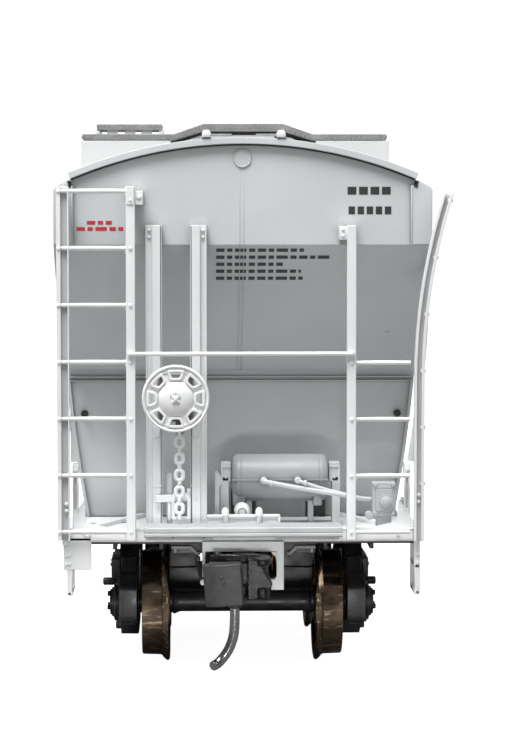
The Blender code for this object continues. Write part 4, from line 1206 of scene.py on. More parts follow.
def chain_and_guide():
    """The brake chain, which stays on the car, and the guide at its foot."""
    x, y, pitch, first_z = -6.22, -99.42, 1.62, 23.1
    solids = [box((x - 0.16, x + 0.16), (y - 0.15, y + 0.15), (23.6, 24.2), 0.08)]
    for number in range(5):
        z = first_z - number * pitch
        solids.append(torus((x, y, z), 0.14, 0.34, 0.2))
        solids.append(rod([(x, y, z - 0.55), (x, y, z - 1.05)], 0.2, 12, 0.06))
    piece("brake_chain_links", solids, LIT_WHITE, "brake_chain")

    arch = [(-6.98, 15.5), (-6.98, 17.6), (-6.8, 18.05), (-5.4, 18.05), (-5.15, 17.6), (-5.15, 15.5)]
    hollow = [(-6.66, 15.8), (-6.66, 17.45), (-6.5, 17.7), (-5.7, 17.7), (-5.47, 17.45), (-5.47, 15.8)]
    guide = [
        ring_around(arch, hollow, (-98.95, -98.5)),
        box((-8.6, -6.7), (-98.7, -98.4), (17.15, 17.85)),
        bolt((-5.35, -98.95, 18.35), "-Y", 0.15, 0.12, 12),
        box((-5.5, -5.2), (-98.95, -98.6), (17.9, 18.5)),
        rod([(-7.2, -97.2, 14.4), (-7.2, -97.2, 19.9)], 0.27, 14, 0.08),
        box((-7.35, -7.05), (-98.6, -98.3), (15.4, 17.2), 0.05),
    ]
    piece("chain_guide", guide, LIT_WHITE)


# Air brake ---------------------------------------------------------------------------------


def tank():
    """The air reservoir: a domed cylinder with welds, a seam, two feet and pipe flanges."""
    low, high = -1.1, 8.5
    y, z, radius = TANK_Y, TANK_Z, TANK_RADIUS
    dome = [(0.0, -0.02), (1.3, 0.02), (1.9, 0.12), (2.16, 0.28), (2.29, 0.5), (radius, 0.75)]
    profile = [(r, low + along) for r, along in dome]
    profile += [(r, high - along) for r, along in reversed(dome)]
    solids = [turned(profile, "X", (y, z), 72)]
    for along in (low + 0.95, high - 0.95):
        bead = [(radius - 0.1, along - 0.1), (radius + 0.035, along), (radius - 0.1, along + 0.1)]
        solids.append(turned(bead, "X", (y, z), 72, ring=True))
    seam_y = y - radius - 0.1
    solids.append(box((low + 0.12, high - 0.1), (seam_y, y), (z - 0.1, z + 0.1), 0.04))
    solids.append(box((low + 0.12, high - 0.1), (y, y + radius + 0.1), (z - 0.1, z + 0.1), 0.04))
    for x, wide in ((-0.35, 0.62), (7.4, 0.45)):
        solids.append(box((x - wide, x + wide), (y - 1.6, y - 0.4), (z - radius - 0.35, z - 1.4), 0.16, 3))
    for x in PIPE_XS:
        flange = [(0.0, seam_y - 0.16), (0.42, seam_y - 0.16), (0.46, seam_y), (0.46, seam_y + 0.3),
                  (0.0, seam_y + 0.3)]
        solids.append(turned(flange, "Y", (x, z), 20))
    # Painted shade: the tank is in the grey shaded copy of the paint
    piece("tank", solids, SHADE_GREY, "air_reservoir")


def tank_brackets():
    """The angles and stand that carry the tank."""
    y = (-92.8, -91.2)
    foot = DECK_TOP_Z
    solids = [box((-2.1, 9.6), y, (foot, foot + 0.4), 0.08)]
    for outer, inner in ((-2.14, -1.12), (9.66, 8.56)):
        side = 1 if inner > outer else -1
        leg = sorted((outer + side * 0.1, outer + side * 0.8))
        solids += [
            box(sorted((outer, inner)), y, (18.5, 20.4), 0.12),
            box(leg, y, (foot, 19.0)),
            box(sorted((outer, outer + side * 0.2)), (y[0] - 0.06, y[1]), (foot, 20.1), 0.04),
            box(sorted((outer + side * 0.15, inner)), (y[0] - 0.1, y[1]), (19.9, 20.1), 0.04),
            bolt(((outer + inner) / 2, y[0], 18.95), "-Y", 0.16, 0.12, 10),
        ]
    stand = [(-2.75, foot), (-2.75, 19.6), (-2.6, 19.8), (-2.05, 19.0), (-2.05, 18.5), (-2.3, 18.2),
             (-2.3, foot)]
    solids.append(prism(stand, "Y", (-94.6, -94.1), 0.06))
    for x in (0.4, 6.5):
        solids.append(box((x, x + 0.55), (-92.4, -91.6), (foot, 16.9)))
    # Painted shade: the brackets are in the lightly shaded copy of the paint
    piece("tank_brackets", solids, SHADE_PALE, "reservoir_bracket")


def valve():
    """The control valve on its foot."""
    x, y = (12.6, 14.9), (-96.9, -95.2)
    solids = [
        box(x, y, (15.5, 18.8), 0.12),
        box((x[0] + 0.3, x[1] - 0.3), (y[0] - 0.14, y[0] + 0.3), (16.0, 18.2), 0.1),
        box((x[0] + 0.1, x[1] - 0.1), (y[0] - 0.07, y[0] + 0.3), (18.2, 18.5), 0.05),
        box((13.0, 14.5), (-96.6, -95.4), (DECK_Z + 0.4, 15.8), 0.08),
        turned([(0.0, y[0] - 0.6), (0.3, y[0] - 0.58), (0.52, y[0] - 0.45), (0.6, y[0] - 0.2),
                (0.62, y[0] + 0.3), (0.0, y[0] + 0.3)], "Y", (13.9, 16.9), 28),
        cylinder((13.9, 16.9), 0.78, "Y", (y[0] - 0.2, y[0] + 0.1), 28, 0.06),
        cylinder((12.35, 15.55), 0.42, "Y", (y[0] + 0.05, y[0] + 1.2), 20, 0.09),
        rod([(12.35, y[0] + 0.5, 15.5), (13.4, y[0] + 0.5, 15.3)], 0.22, 12, 0.05),
    ]
    for cx in (x[0] + 0.28, x[1] - 0.28):
        for cz in (15.78, 18.6):
            solids.append(bolt((cx, y[0], cz), "-Y", 0.23, 0.26, 12))
    plate = [(15.15, 14.9), (15.15, 16.4), (15.35, 17.4), (15.6, 17.45), (16.1, 16.0), (16.1, 14.9)]
    solids.append(prism(plate, "Y", (-97.0, -96.7), 0.06))
    solids.append(bolt((15.42, -97.0, 17.1), "-Y", 0.16, 0.14, 10))
    # Painted shade: the valve is in the lightly shaded copy of the paint
    piece("valve", solids, SHADE_PALE, "control_valve")


def curved(points, steps=6):
    """A smooth path through the points."""
    path = []
    ends = [points[0], *points, points[-1]]
    for a, b, c, d in zip(ends, ends[1:], ends[2:], ends[3:]):
        a, b, c, d = Vector(a), Vector(b), Vector(c), Vector(d)
        for i in range(steps):
            t = i / steps
            path.append(0.5 * (2 * b + (c - a) * t + (2 * a - 5 * b + 4 * c - d) * t**2
                               + (3 * b - a - 3 * c + d) * t**3))
    return path + [Vector(points[-1])]


def pipes():
    """Two pipes from elbows on the tank to the valve, with a union on each."""
    long_pipe = curved([
        (2.05, PIPE_Y, 18.85), (2.06, PIPE_Y - 0.5, 18.86), (2.4, PIPE_Y - 0.86, 18.74),
        (5.8, -95.5, 18.1), (9.6, -95.65, 17.5), (11.6, -95.9, 17.15), (12.6, -96.0, 17.1),
    ])
    short_pipe = curved([
        (5.4, PIPE_Y, 18.85), (5.41, PIPE_Y - 0.45, 18.86), (5.8, PIPE_Y - 0.75, 18.7),
        (8.0, -95.4, 18.0), (10.3, -95.65, 17.45),
    ])
    solids = [rod(long_pipe, 0.235, 14, 0.03), rod(short_pipe, 0.2, 14, 0.03)]
    for x in PIPE_XS:
        elbow = [(0.0, PIPE_Y - 0.86), (0.24, PIPE_Y - 0.84), (0.34, PIPE_Y - 0.7),
                 (0.34, PIPE_Y - 0.2), (0.0, PIPE_Y - 0.2)]
        solids.append(turned(elbow, "Y", (x, 18.86), 20))
    for x in (2.75, 6.1):
        solids.append(cylinder((-95.5, 18.62), 0.3, "X", (x - 0.14, x + 0.14), 14, 0.05))
    # Painted shade: the pipes are in the lightly shaded copy of the paint
    piece("pipes", solids, SHADE_PALE, "reservoir_pipes")


def deck_fittings():
    """On the deck behind the platform: a channel, the brake cylinder's end and two hose studs."""
    solids = [
        box((-3.55, 3.55), (-98.3, -98.1), (14.6, 15.86), 0.05),
        box((-3.55, 3.55), (-98.5, -97.6), (15.66, 15.86)),
        box((3.35, 3.55), (-98.5, -97.6), (14.6, 15.86), 0.05),
    ]
    for x, lean in ((-1.8, 0.12), (1.48, -0.02)):
        stem = [(x + lean, -98.55, 14.8), (x, -98.6, 16.1)]
        solids.append(rod(stem, 0.24, 14, 0.06))
        cap = [(0.0, 15.85), (0.34, 15.85), (0.36, 16.2), (0.3, 16.45), (0.15, 16.6), (0.0, 16.63)]
        solids.append(turned(cap, "Z", (x, -98.62), 20))
    cylinder_end = [
        (0.0, -96.8), (0.3, -96.85), (0.36, -96.7), (0.44, -96.7), (0.46, -96.95), (0.62, -96.95),
        (0.72, -96.7), (0.78, -95.0), (0.0, -95.0),
    ]
    solids.append(turned(cylinder_end, "Y", (-0.1, 15.95), 36))
    solids.append(box((-0.9, 0.7), (-96.4, -95.2), (DECK_Z, 15.4), 0.1))
    for x in (-16.9, -14.95, 14.95, 16.9):
        solids.append(bolt((x, -99.0, 14.0), "-Y", 0.2, 0.14, 10))
    piece("deck_fittings", solids + half_turned(solids), LIT_WHITE)

    # A flat black wedge lying on the deck
    slot = [(-16.3, -91.3), (-16.3, -89.7), (-11.5, -88.9), (-12.5, -89.6)]
    dark_wedges = [prism(slot, "Z", (DECK_Z - 0.1, DECK_Z + 0.04), 0)]
    piece("deck_dark_wedge", dark_wedges, BLACK)
    # Dark plates of painted shade, standing for the dark depth seen under the tank
    shade = [box((1.6, 6.6), (-84.6, -84.1), (14.02, 16.6), 0)]
    piece("tank_shade_plate", shade, SHADE_GREY)
    dark = [box(x, (-84.6, -84.1), (14.02, 16.9), 0) for x in ((-1.0, 1.4), (6.7, 8.6))]
    piece("tank_shadow", dark, SHADED)


# Trucks ------------------------------------------------------------------------------------


def side_casting():
    """The right-hand sideframe, in the truck's own place: webs, boxes, springs and caps."""
    outline = both_halves([
        (4.6, 1.7), (8.0, 3.3), (9.2, 3.7), (10.9, 4.0), (13.8, 4.4), (13.9, 5.0), (13.9, 7.5),
        (13.5, 8.05), (11.6, 8.8), (8.6, 10.7), (6.4, 11.9), (4.6, 12.4),
    ])
    window = [(5.0, 4.6), (8.2, 5.2), (8.3, 7.6), (7.6, 8.6), (5.0, 9.8)]
    bm = bmesh.new()
    rings = []
    for x in (10.45, 12.0):
        rims, loops = [], []
        for shape in (outline, window, both_halves(window)[len(window):]):
            loops.append([bm.verts.new((x, y, z)) for y, z in shape])
            rims += closed_rim(bm, loops[-1])
        bmesh.ops.triangle_fill(bm, use_beauty=True, use_dissolve=False, edges=rims)
        rings.append(loops)
    bridge(bm, list(zip(*rings)))
    solids = [rounded(outward(bm), 0.12, 2, 40)]

    inset = [(y * 0.955, 6.9 + (z - 6.9) * 0.9) for y, z in outline]
    lip = ring_around(outline, inset, (11.9, 12.3))
    lip.transform(Matrix(((0, 1, 0, 0), (1, 0, 0, 0), (0, 0, 1, 0), (0, 0, 0, 1))))
    solids.append(outward(lip))
    for end in (-1, 1):
        y = end * AXLE_SPACING / 2
        cap = [
            (0.0, 11.0), (1.95, 11.0), (1.95, 12.25), (1.78, 12.4), (1.78, 12.55), (1.9, 12.6), (1.9, 12.8),
            (1.5, 12.9), (1.5, 13.05), (1.3, 13.1), (1.3, 13.25), (0.5, 13.3), (0.0, 13.3),
        ]
        solids.append(turned(cap, "X", (y, AXLE_Z), 36))
        for i in range(3):
            turn = math.radians(90 + 120 * i)
            spot = (y + 0.85 * math.cos(turn), AXLE_Z + 0.85 * math.sin(turn))
            solids.append(prism(circle(spot, 0.3, 6), "X", (13.2, 13.52), 0.05))
        solids.append(box((10.6, 12.35), (y - 2.2, y + 2.2), (7.3, 8.35), 0.14))
        solids.append(box((10.7, 12.2), (y - 1.7, y + 1.7), (8.2, 8.75), 0.12))
        keeper = [(y - 2.3, 3.9), (y + 2.3, 3.9), (y + 1.9, 4.6), (y - 1.9, 4.6)]
        solids.append(prism(keeper, "X", (10.6, 12.2), 0.1))
        for z in (8.0, 4.3):
            solids.append(bolt((12.3, y + end * 1.9, z), "X", 0.24, 0.26, 10))
    for y in (-2.0, 0.0, 2.0):
        coils = [(0.0, 2.65)]
        for i in range(9):
            z = 2.7 + i * 0.5
            coils += [(0.62, z), (0.86, z + 0.12), (0.86, z + 0.28), (0.62, z + 0.4)]
        coils.append((0.0, 7.3))
        solids.append(turned(coils, "Z", (11.75, y), 20))
    solids += [
        box((11.0, 13.35), (-2.7, 2.7), (7.2, 9.3), 0.2, 3),
        box((12.1, 13.1), (-2.3, 2.3), (9.2, 9.62), 0.1),
        box((10.9, 12.9), (-3.4, 3.4), (2.0, 2.75), 0.15),
        cylinder((0.0, 6.5), 0.42, "X", (12.9, 14.3), 20, 0.14),
        box((10.5, 11.9), (-4.4, 4.4), (9.6, 12.3), 0.25),
        box((10.2, 10.9), (-4.6, -3.6), (4.0, 10.5), 0.1),
        box((10.2, 10.9), (3.6, 4.6), (4.0, 10.5), 0.1),
    ]
    for y in (-8.6, 8.6):
        swell = [(y - 2.6, 9.0), (y + 2.6, 9.0), (y + 1.6, 10.4), (y - 1.6, 10.4)]
        solids.append(prism(swell, "X", (10.6, 12.1), 0.14))
    for y in (-1.6, 1.6):
        solids.append(bolt((13.35, y, 8.5), "X"))
    return solids


def brake_beam(side):
    """A trussed beam with its shoes, between bolster and wheels."""
    y = side * 3.55
    strut_y = sorted((side * 2.1, y + side * 0.3))
    return [
        box((-7.0, 7.0), (y - 0.3, y + 0.3), (5.5, 6.3), 0.1),
        rod([(-6.6, y, 5.9), (0.0, side * 2.5, 4.7), (6.6, y, 5.9)], 0.28, 10),
        box((-0.35, 0.35), strut_y, (4.3, 6.8), 0.08),
    ]


def trucks():
    """The sideframes, bolster, centre plate and brake beams as one black casting."""
    solids = side_casting()
    solids += mirrored(solids)
    bolster = [(-10.6, 5.4), (-6.0, 5.0), (6.0, 5.0), (10.6, 5.4), (10.6, 8.2), (4.0, 8.3), (2.8, 8.62),
               (-2.8, 8.62), (-4.0, 8.3), (-10.6, 8.2)]
    solids.append(prism(bolster, "Y", (-2.3, 2.3), 0.15))
    solids.append(cylinder((0, 0), 2.9, "Z", (8.0, 8.65), 40, 0.1))
    for side in (-1, 1):
        solids += brake_beam(side)
        solids.append(box(span(side, 4.3, 9.6), (-1.6, 1.6), (8.0, 9.9), 0.15))
    solids = moved(solids, Matrix.Translation((0, -TRUCK_Y, 0)))
    at_both_ends("truck_casting", solids, BLACK, "truck_frame", "truck")


# The wheelsets, in each wheelset's own place; one wheel and one axle mesh serve all four.


def wheel_solid():
    """A wheel with its flange towards the middle of the track, drawn from bore to bore."""
    inner, outer, tread, flange = 7.2, 10.0, 5.25, 5.89
    profile = [
        (1.12, inner + 0.05), (2.0, inner + 0.05), (2.3, inner + 0.2), (2.6, inner + 0.75),
        (3.9, inner + 0.85), (4.25, inner + 0.5), (4.4, inner + 0.08), (5.5, inner),
        (flange - 0.1, inner + 0.06), (flange, inner + 0.2), (flange - 0.02, inner + 0.36),
        (flange - 0.16, inner + 0.52), (tread + 0.32, inner + 0.68), (tread + 0.13, inner + 0.82),
        (tread + 0.05, inner + 1.0), (tread, outer - 0.16), (tread - 0.05, outer - 0.05),
        (tread - 0.16, outer), (4.5, outer), (4.35, outer - 0.1), (4.15, outer - 0.75),
        (3.8, outer - 0.95), (2.6, outer - 0.7), (2.2, outer - 0.35), (1.12, outer - 0.35),
    ]
    return turned(profile, "X", (0, 0), 160, ring=True)


def axle_solid():
    """An axle with pointed ends."""
    half = [(0.0, 12.05), (0.12, 12.0), (0.36, 11.7), (0.84, 10.95), (0.86, 10.3), (1.1, 10.2),
            (1.1, 7.0), (1.25, 6.8), (1.0, 6.2)]
    profile = [(radius, -x) for radius, x in half] + half[::-1]
    return turned(profile, "X", (0, 0), 48)


def wheelsets():
    wheel = finished("wheel", [wheel_solid()], WHEEL, 28)
    axle = finished("axle", [axle_solid()], AXLE, 28)
    for letter, end in ENDS.items():
        for number, side in ((1, -1), (2, 1)):
            key = f"{letter}{number}"
            body = f"wheelset_{key}"
            centre = Vector((0, -TRUCK_Y + side * AXLE_SPACING / 2, AXLE_Z)) * MM
            place = end @ Matrix.Translation(centre)
            piece(f"axle_bar_{key}", [], AXLE, f"axle_{key}", body, place=place, mesh=axle)
            for hand, turn in (("right", B_END), ("left", A_END)):
                piece(f"rail_wheel_{key}_{hand}", [], WHEEL, f"wheel_{key}_{hand}", body,
                      place=place @ turn, mesh=wheel)


# Couplers ----------------------------------------------------------------------------------


def coupler_head():
    """The cast head: lug plates for the knuckle, a hollow throat and the curved guard arm."""
    plate = [
        (-3.25, -101.0), (-3.3, -102.0), (-2.95, -102.25), (-2.3, -102.35), (-1.8, -102.75), (0.1, -102.8),
        (0.9, -103.3), (1.3, -104.7), (1.9, -104.75), (2.35, -104.2), (2.55, -103.0), (2.5, -102.0),
        (2.2, -101.0), (1.0, -100.4), (-1.2, -100.4), (-2.6, -100.6),
    ]
    back = [(-1.3, -101.9), (-1.6, -100.9), (-1.2, -100.4), (1.0, -100.4), (2.2, -101.0), (2.35, -101.9)]
    guard = [(0.25, 12.3), (1.4, 12.2), (2.1, 10.8), (2.63, 9.94), (2.1, 8.85), (0.9, 8.4), (0.25, 8.4)]
    solids = [
        prism(plate, "Z", (11.7, 12.35), 0.12),
        prism(plate, "Z", (8.5, 9.6), 0.12),
        prism(back, "Z", (9.0, 12.2), 0.12),
        prism(guard, "Y", (-104.2, -101.4), 0.14),
        box((-1.1, 1.1), (-101.0, -93.0), (9.75, 12.4), 0.16),
        cylinder((0, -92), 1.8, "Z", (9.75, 12.4), 36, 0.12),
        rod([(-2.9, -101.9, 12.3), (-1.2, -102.3, 12.36), (0.2, -102.4, 12.3)], 0.24, 12, 0.1),
        box((-0.4, 1.5), (-102.3, -101.0), (12.1, 12.45), 0.1),
    ]
    return solids


def knuckle_block():
    """The tall knuckle, leaning a little as a casting does, and its tongue."""
    block = [
        (-3.92, -103.5), (-3.75, -103.1), (-3.3, -102.9), (-0.9, -102.9), (-0.3, -103.3), (-0.2, -103.8),
        (-0.2, -104.75), (-0.35, -104.98), (-2.55, -105.0), (-3.86, -104.4),
    ]
    tall = prism(block, "Z", (7.9, 11.9), 0.12, 3)
    lean = Matrix.Translation((-2, 0, 10.2)) @ Matrix.Rotation(math.radians(-4.2), 4, "Y")
    tall.transform(lean @ Matrix.Translation((2, 0, -10.2)))
    solids = [
        tall,
        box((-3.05, -2.15), (-103.2, -101.7), (10.0, 11.6), 0.08),
        cylinder(KNUCKLE_PIN, 0.6, "Z", (10.0, 11.6), 28, 0.06),
        bolt((-2.25, -105.0, 10.7), "-Y", 0.17, 0.1, 12),
        bolt((-2.05, -105.0, 10.15), "-Y", 0.13, 0.08, 12),
        cylinder((-0.95, -104.0), 0.62, "Z", (7.65, 8.2), 24, 0.08),
    ]
    solids.append(box((-3.4, -0.75), (-104.7, -103.2), (11.7, 11.97)))
    return solids


def couplers():
    """Heads, knuckles, their rivets and the curved trip pins at both ends."""
    # Painted shade: the heads and pivot rivets are in the darker copy of the casting
    at_both_ends("coupler_head", coupler_head(), SHADED_COUPLER_HEAD, "coupler", "coupler")
    at_both_ends("knuckle_block", knuckle_block(), COUPLER, "knuckle", "knuckle")
    pin = [
        (0.0, 8.4), (0.24, 8.4), (0.24, 12.4), (0.36, 12.44), (0.4, 12.55), (0.3, 12.66), (0.0, 12.68),
    ]
    at_both_ends("pivot_rivet", [turned(pin, "Z", KNUCKLE_PIN, 24)], SHADED_COUPLER_HEAD, "knuckle_pin", "coupler")
    path = curved([
        (-1.0, -104.0, 10.4), (-0.98, -104.0, 8.4), (-0.98, -104.0, 6.4), (-1.1, -104.0, 5.0),
        (-1.5, -104.0, 3.8), (-2.05, -104.05, 2.95), (-2.6, -104.3, 2.4), (-3.07, -104.75, 2.2),
    ], 8)
    at_both_ends("curved_pin", [rod(path, 0.47, 24, 0.07)], PIN, "trip_pin", "knuckle")


# Underside ---------------------------------------------------------------------------------


def striker_frame():
    """The coupler pocket's front: a frame with a wide top bar and a foot at the right."""
    front, back = -99.62, -98.4
    return [
        box((-4.02, 3.86), (front, back), (12.45, 13.42), 0.07),
        box((-4.02, -3.72), (front + 0.02, back), (9.8, 12.6), 0.07),
        box((3.14, 3.86), (front + 0.02, back), (8.7, 12.6), 0.07),
        prism([(1.3, 8.7), (3.86, 8.7), (3.86, 10.2), (3.2, 10.15), (2.95, 9.75), (1.3, 9.7)], "Y",
              (front + 0.01, back), 0.07),
        prism([(3.25, 12.4), (3.25, 10.3), (3.05, 11.9), (2.6, 12.4)], "Y", (front + 0.1, back), 0.04),
    ]


def end_sill():
    """The end sill, pocket front and deck braces, bright with painted light; the bent strips are a piece of
    their own.
    """
    across = DECK_HALF
    solids = [
        box((-across, across), (-99.0, -98.2), (13.42, 14.6), 0.09),
        box((-across, across), (-99.06, -98.2), (14.45, 14.62), 0.05),
        *striker_frame(),
    ]
    strips = []
    for side in (-1, 1):
        strip = [(7.0, 12.78), (7.0, 12.5), (5.2, 12.5), (4.6, 11.9), (4.2, 11.9), (4.2, 12.2),
                 (4.5, 12.2), (5.0, 12.78)]
        strips.append(prism(on_side(side, strip), "Y", (-97.9, -97.6), 0.04))
        strips.append(box(span(side, 6.5, 6.75), (-97.9, -97.6), (12.1, 12.6), 0.04))
        brace = on_side(side, [(16.0, -97.6), (16.6, -97.0), (10.4, -84.2), (9.6, -84.2)])
        solids.append(prism(brace, "Z", (DECK_Z - 0.2, DECK_Z + 0.42), 0.07))
    # Painted shade: the bent strips are in the grey shaded copy of the paint
    at_both_ends("bent_strips", strips, SHADE_GREY)
    return solids


def end_underframe():
    """The centre sill, bolster, deck floor and cross members at one end, near black with painted shade.

    The last two plates on each side are dark sheets of painted shade, standing for the dark depth seen
    beside the coupler pocket.
    """
    rail = 3.87
    solids = [
        box((-rail, -3.1), (-98.3, -60.0), (9.0, 13.2), 0.1),
        box((3.1, rail), (-98.3, -60.0), (9.0, 13.2), 0.1),
        box((-rail, rail), (-98.3, -60.0), (12.72, 13.2)),
        box((-rail, rail), (-87.8, -60.0), (9.0, 13.2), 0.1),
        box((-13.0, 13.0), (-80.5, -75.5), (12.7, 13.2), 0.1),
        cylinder((0, -TRUCK_Y), 3.0, "Z", (8.75, 9.2), 48, 0.08),
        box((-DECK_HALF + 0.3, DECK_HALF - 0.3), (-98.0, -83.2), (13.0, 13.32)),
    ]
    for x in (-12.5, -8.0, 8.0, 12.5):
        solids.append(box((x - 0.2, x + 0.2), (-97.4, -83.5), (12.4, 13.2), 0.05))
    for side in (-1, 1):
        web = on_side(side, [(4.0, 9.6), (4.0, 13.2), (12.6, 13.2), (12.6, 12.7), (6.2, 12.0)])
        solids.append(prism(web, "Y", (-78.3, -77.7), 0.08))
        solids.append(box(span(side, 3.8, 9.6), (-82.3, -82.1), (10.9, 13.2), 0.05))
        solids.append(box(span(side, 3.8, 7.0), (-97.3, -97.1), (12.0, 13.2), 0.05))
    return solids


def corner_step(side):
    """The stirrup under a corner and the plate that bolts it to the end sill."""
    front, back, foot_z = -98.95, -94.0, 8.1
    x = span(side, 16.55, 17.08)
    plate = [(16.5, 11.0), (16.5, 13.8), (17.1, 13.8), (17.1, 8.2), (16.75, 8.1), (16.6, 8.5)]
    solids = [
        prism(on_side(side, plate), "Y", (front, front + 0.55), 0.08),
        box(x, (back - 0.6, back), (foot_z, 13.6), 0.08),
        box(x, (front, back), (foot_z, foot_z + 0.42), 0.1),
        box(x, (front, back), (10.7, 11.05), 0.08),
    ]
    for z in (12.05, 11.2):
        solids.append(bolt((side * 16.85, front, z), "-Y", 0.17, 0.16, 12))
    return solids


def train_line():
    """The brake pipe that runs the length of the car under the deck, in its hangers."""
    half = [(-5.2, -92.0, 12.97), (-8.4, -80.0, 12.97), (-11.6, -64.0, 12.97), (-14.2, -57.0, 12.2)]
    path = half + [(x, -y, z) for x, y, z in reversed(half)]
    solids = [rod(path, 0.3, 12, 0.08)]
    for y in (-50, -30, -10, 10, 30, 50):
        solids.append(box((-14.75, -13.65), (y - 0.25, y + 0.25), (11.6, 13.5), 0.07))
    return solids


def underside():
    """Decks, side sills and cross members along the car, with both ends' sills and steps."""
    deck = [box((-DECK_HALF, DECK_HALF), (-98.8, -83.0), (13.3, DECK_Z))]
    rails = []
    for side in (-1, 1):
        x = span(side, 13.4, 15.0)
        rails += [
            box((-15.0, 15.0), span(side, 57.5, 83.5), (13.3, DECK_Z), 0.08),
            box(x, (-58.0, 58.0), (13.55, DECK_Z), 0.08),
            box(span(side, 14.0, 14.3), (-58.0, 58.0), (12.8, 13.7), 0.05),
            box(x, (-58.0, 58.0), (12.8, 13.0), 0.05),
            box((-13.6, 13.6), span(side, 58.6, 59.6), (11.6, 13.4), 0.1),
        ]
        for y in spaced(-54, 54, 9):
            rails.append(box(x, (y - 0.15, y + 0.15), (12.9, 13.7), 0.04))
    end = deck + end_sill() + corner_step(1) + corner_step(-1)
    end.append(box((-DECK_HALF - 0.05, -14.72), (-99.0, -98.5), (10.62, 13.8), 0.1))
    end += [
        bolt((-17.2, -99.0, 13.3), "-Y", 0.36, 0.22, 16),
        bolt((-17.15, -99.0, 12.0), "-Y", 0.15, 0.12, 12),
        bolt((-17.15, -99.0, 11.2), "-Y", 0.15, 0.12, 12),
        prism([(-15.7, 14.3), (-15.45, 14.3), (-14.85, 13.7), (-15.1, 13.7)], "Y", (-99.1, -98.9), 0.03),
    ]
    # Painted light: sills, steps and striker are in the brighter copy of the paint
    piece("underside", rails + end + half_turned(end), LIT_WHITE, "underframe")
    sills = end_underframe()
    # Painted shade: the centre sills and the train line are in the near-black shaded copy of the paint
    piece("centre_sills", sills + half_turned(sills), SHADED)
    piece("train_line", train_line(), SHADED)


def hose_ends():
    """The stub of the air hose beside the coupler, with its pale gasket."""
    hose = [rod([(-4.5, -97.6, 11.4), (-4.35, -98.6, 10.9), (-4.05, -99.5, 9.75)], 0.24, 14, 0.05)]
    hose.append(box((-4.65, -4.2), (-98.2, -97.6), (10.6, 11.8), 0.1))
    at_both_ends("air_hose", hose, AXLE)
    lip = [(0.0, -99.98), (0.24, -99.98), (0.3, -99.85), (0.3, -99.7), (0.0, -99.7)]
    at_both_ends("hose_gasket", [turned(lip, "Y", (-3.95, 9.5), 20)], LIT_WHITE)


def gates():
    """The outlet gates under the bays: frame, sliding plate, racks and the shaft between its capstans."""
    top = 6.15
    frame_z = (top - 0.9, top - 0.1)
    reach, half = 6.4, 4.6
    shaft = (6.0, top - 1.0)
    solids = [
        box((-reach, reach), (-half, half), (top - 0.32, top), 0.08),
        box((-reach, reach), (-half, -3.9), frame_z, 0.1),
        box((-reach, reach), (3.9, half), frame_z, 0.1),
        box((-reach, -5.6), (-half, half), frame_z, 0.1),
        box((5.6, reach), (-half, half), frame_z, 0.1),
        box((-3.6, 3.6), (-reach, reach), (top - 0.75, top - 0.35), 0.07),
        cylinder(shaft, 0.35, "X", (-9.6, 9.6), 20, 0.06),
    ]
    for x in (-2.4, 2.4):
        for y in spaced(-6.2, 6.2, 22):
            solids.append(box((x - 0.35, x + 0.35), (y - 0.13, y + 0.13), (top - 0.95, top - 0.7), 0.03))
        solids.append(cylinder(shaft, 0.55, "X", (x - 0.4, x + 0.4), 20, 0.05))
    for low, high in ((8.6, 9.4), (-9.4, -8.6)):
        solids.append(prism(circle(shaft, 0.78, 8), "X", (low, high), 0.1))
        solids.append(cylinder(shaft, 0.95, "X", sorted((low * 0.985, low * 0.96)), 24, 0.04))
    three_along("gate", finished("gate", solids, LIT_WHITE), LIT_WHITE, "outlet_gate", BAY_PITCH)


hopper_body()
markings()
curved_roof()
hatches()
roof_boards()
crosswalks()
platforms()
left_ladder()
right_ladder()
ladder_on_side()
corner_rails()
brake_posts()
brake_gearbox()
hand_wheel()
chain_and_guide()
tank()
tank_brackets()
valve()
pipes()
deck_fittings()
trucks()
wheelsets()
couplers()
underside()
hose_ends()
gates()
for part in frame["record"]["subparts"]:
    if part["node"].startswith(KEPT):
        refined(part["node"], KEPT_FINISHES[part["material_slot"]])


# Studio ------------------------------------------------------------------------------------

EYE = (-5.45, -352.0, 46.3)
PAN_DEG, TILT_DEG = 1.654, -3.80
LENS_MM = 126.336

# Name, place, aim and size in millimetres, watts, spread in degrees
LIGHTS = (
    ("key", (-90, -235, 440), (0, -97, 30), (280, 200), 3.62, 180),
    ("fill", (-10, -430, 70), (0, -90, 25), (260, 60), 0.06, 180),
    ("low", (0, -190, 5), (0, -99, 11), (24, 8), 0.00045, 22),
    ("side", (420, 60, 260), (0, 0, 25), (300, 300), 0.7, 180),
)


def pale_paper(name, shown=0.95, bounce=0.25):
    """White to the eye, but it throws little light back up at the object."""
    n = Nodes(name)
    tone = n.ranged(n.noise(0.02, 2.0), 0.88, 0.92)
    grey = n.add("ShaderNodeCombineColor")
    for socket in grey.inputs:
        if socket.name in ("Red", "Green", "Blue"):
            n.join(tone, socket)
    to_eye = n.add("ShaderNodeLightPath").outputs["Is Camera Ray"]
    return n.give(
        Base_Color=n.mixed(to_eye, (bounce, bounce, bounce), grey.outputs["Color"]),
        Roughness=0.8,
        Specular_IOR_Level=0.1,
        Emission_Color=(1.0, 1.0, 1.0),
        Emission_Strength=n.ranged(to_eye, 0.0, shown, 0.0, 1.0),
    )


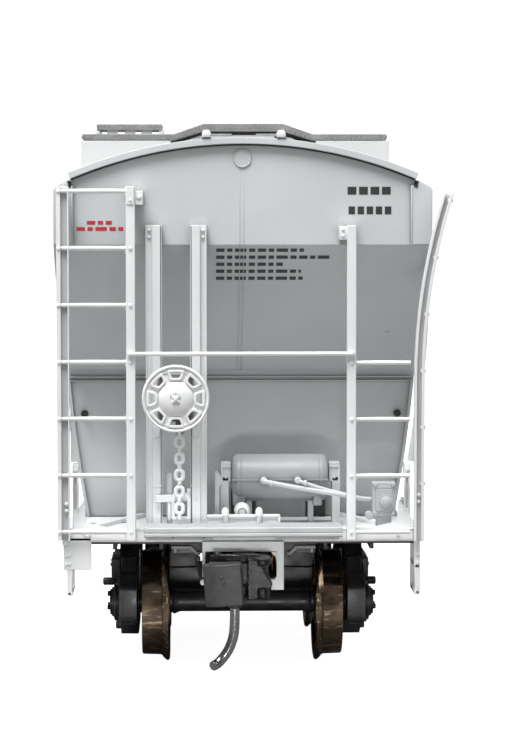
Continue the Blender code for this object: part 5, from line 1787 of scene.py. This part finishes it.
def studio(shown=1.1, ambient=0.22):
    """A pale floor and an even white surround, brighter to the eye than it is as a light."""
    bm = bmesh.new()
    bmesh.ops.create_grid(bm, x_segments=1, y_segments=1, size=6000)
    floor = bpy.data.objects.new("floor", merged_mesh("floor", [bm]))
    floor.data.materials.append(pale_paper("paper"))
    bpy.context.scene.collection.objects.link(floor)

    world = bpy.data.worlds.new("studio")
    world.use_nodes = True
    tree = world.node_tree
    back = tree.nodes["Background"]
    back.inputs["Color"].default_value = (1.0, 1.0, 1.0, 1.0)
    path = tree.nodes.new("ShaderNodeLightPath")
    strength = tree.nodes.new("ShaderNodeMapRange")
    strength.inputs["To Min"].default_value = ambient
    strength.inputs["To Max"].default_value = shown
    tree.links.new(path.outputs["Is Camera Ray"], strength.inputs["Value"])
    tree.links.new(strength.outputs["Result"], back.inputs["Strength"])
    bpy.context.scene.world = world
    bpy.context.scene.view_settings.view_transform = "Standard"


def soft_light(name, place, aim, size, power, spread):
    """An area light that the camera doesn't see."""
    lamp = bpy.data.lights.new(name, "AREA")
    lamp.shape = "RECTANGLE"
    lamp.size, lamp.size_y = size[0] * MM, size[1] * MM
    lamp.energy = power
    lamp.spread = math.radians(spread)
    thing = bpy.data.objects.new(name, lamp)
    thing.location = Vector(place) * MM
    thing.rotation_euler = (Vector(aim) - Vector(place)).to_track_quat("-Z", "Y").to_euler()
    thing.visible_camera = False
    bpy.context.scene.collection.objects.link(thing)


def camera():
    """A long lens just above the roof of the car, looking a little down and to the right of its axis."""
    lens = bpy.data.cameras.new("camera")
    lens.sensor_width = 36.0
    lens.lens = LENS_MM
    lens.clip_start, lens.clip_end = 0.01, 20.0
    thing = bpy.data.objects.new("camera", lens)
    thing.location = Vector(EYE) * MM
    pan, tilt = math.radians(PAN_DEG), math.radians(TILT_DEG)
    aim = Vector((math.tan(pan), 1.0, math.tan(tilt)))
    thing.rotation_euler = aim.to_track_quat("-Z", "Y").to_euler()
    bpy.context.scene.collection.objects.link(thing)
    bpy.context.scene.camera = thing


studio()
for light in LIGHTS:
    soft_light(*light)
camera()
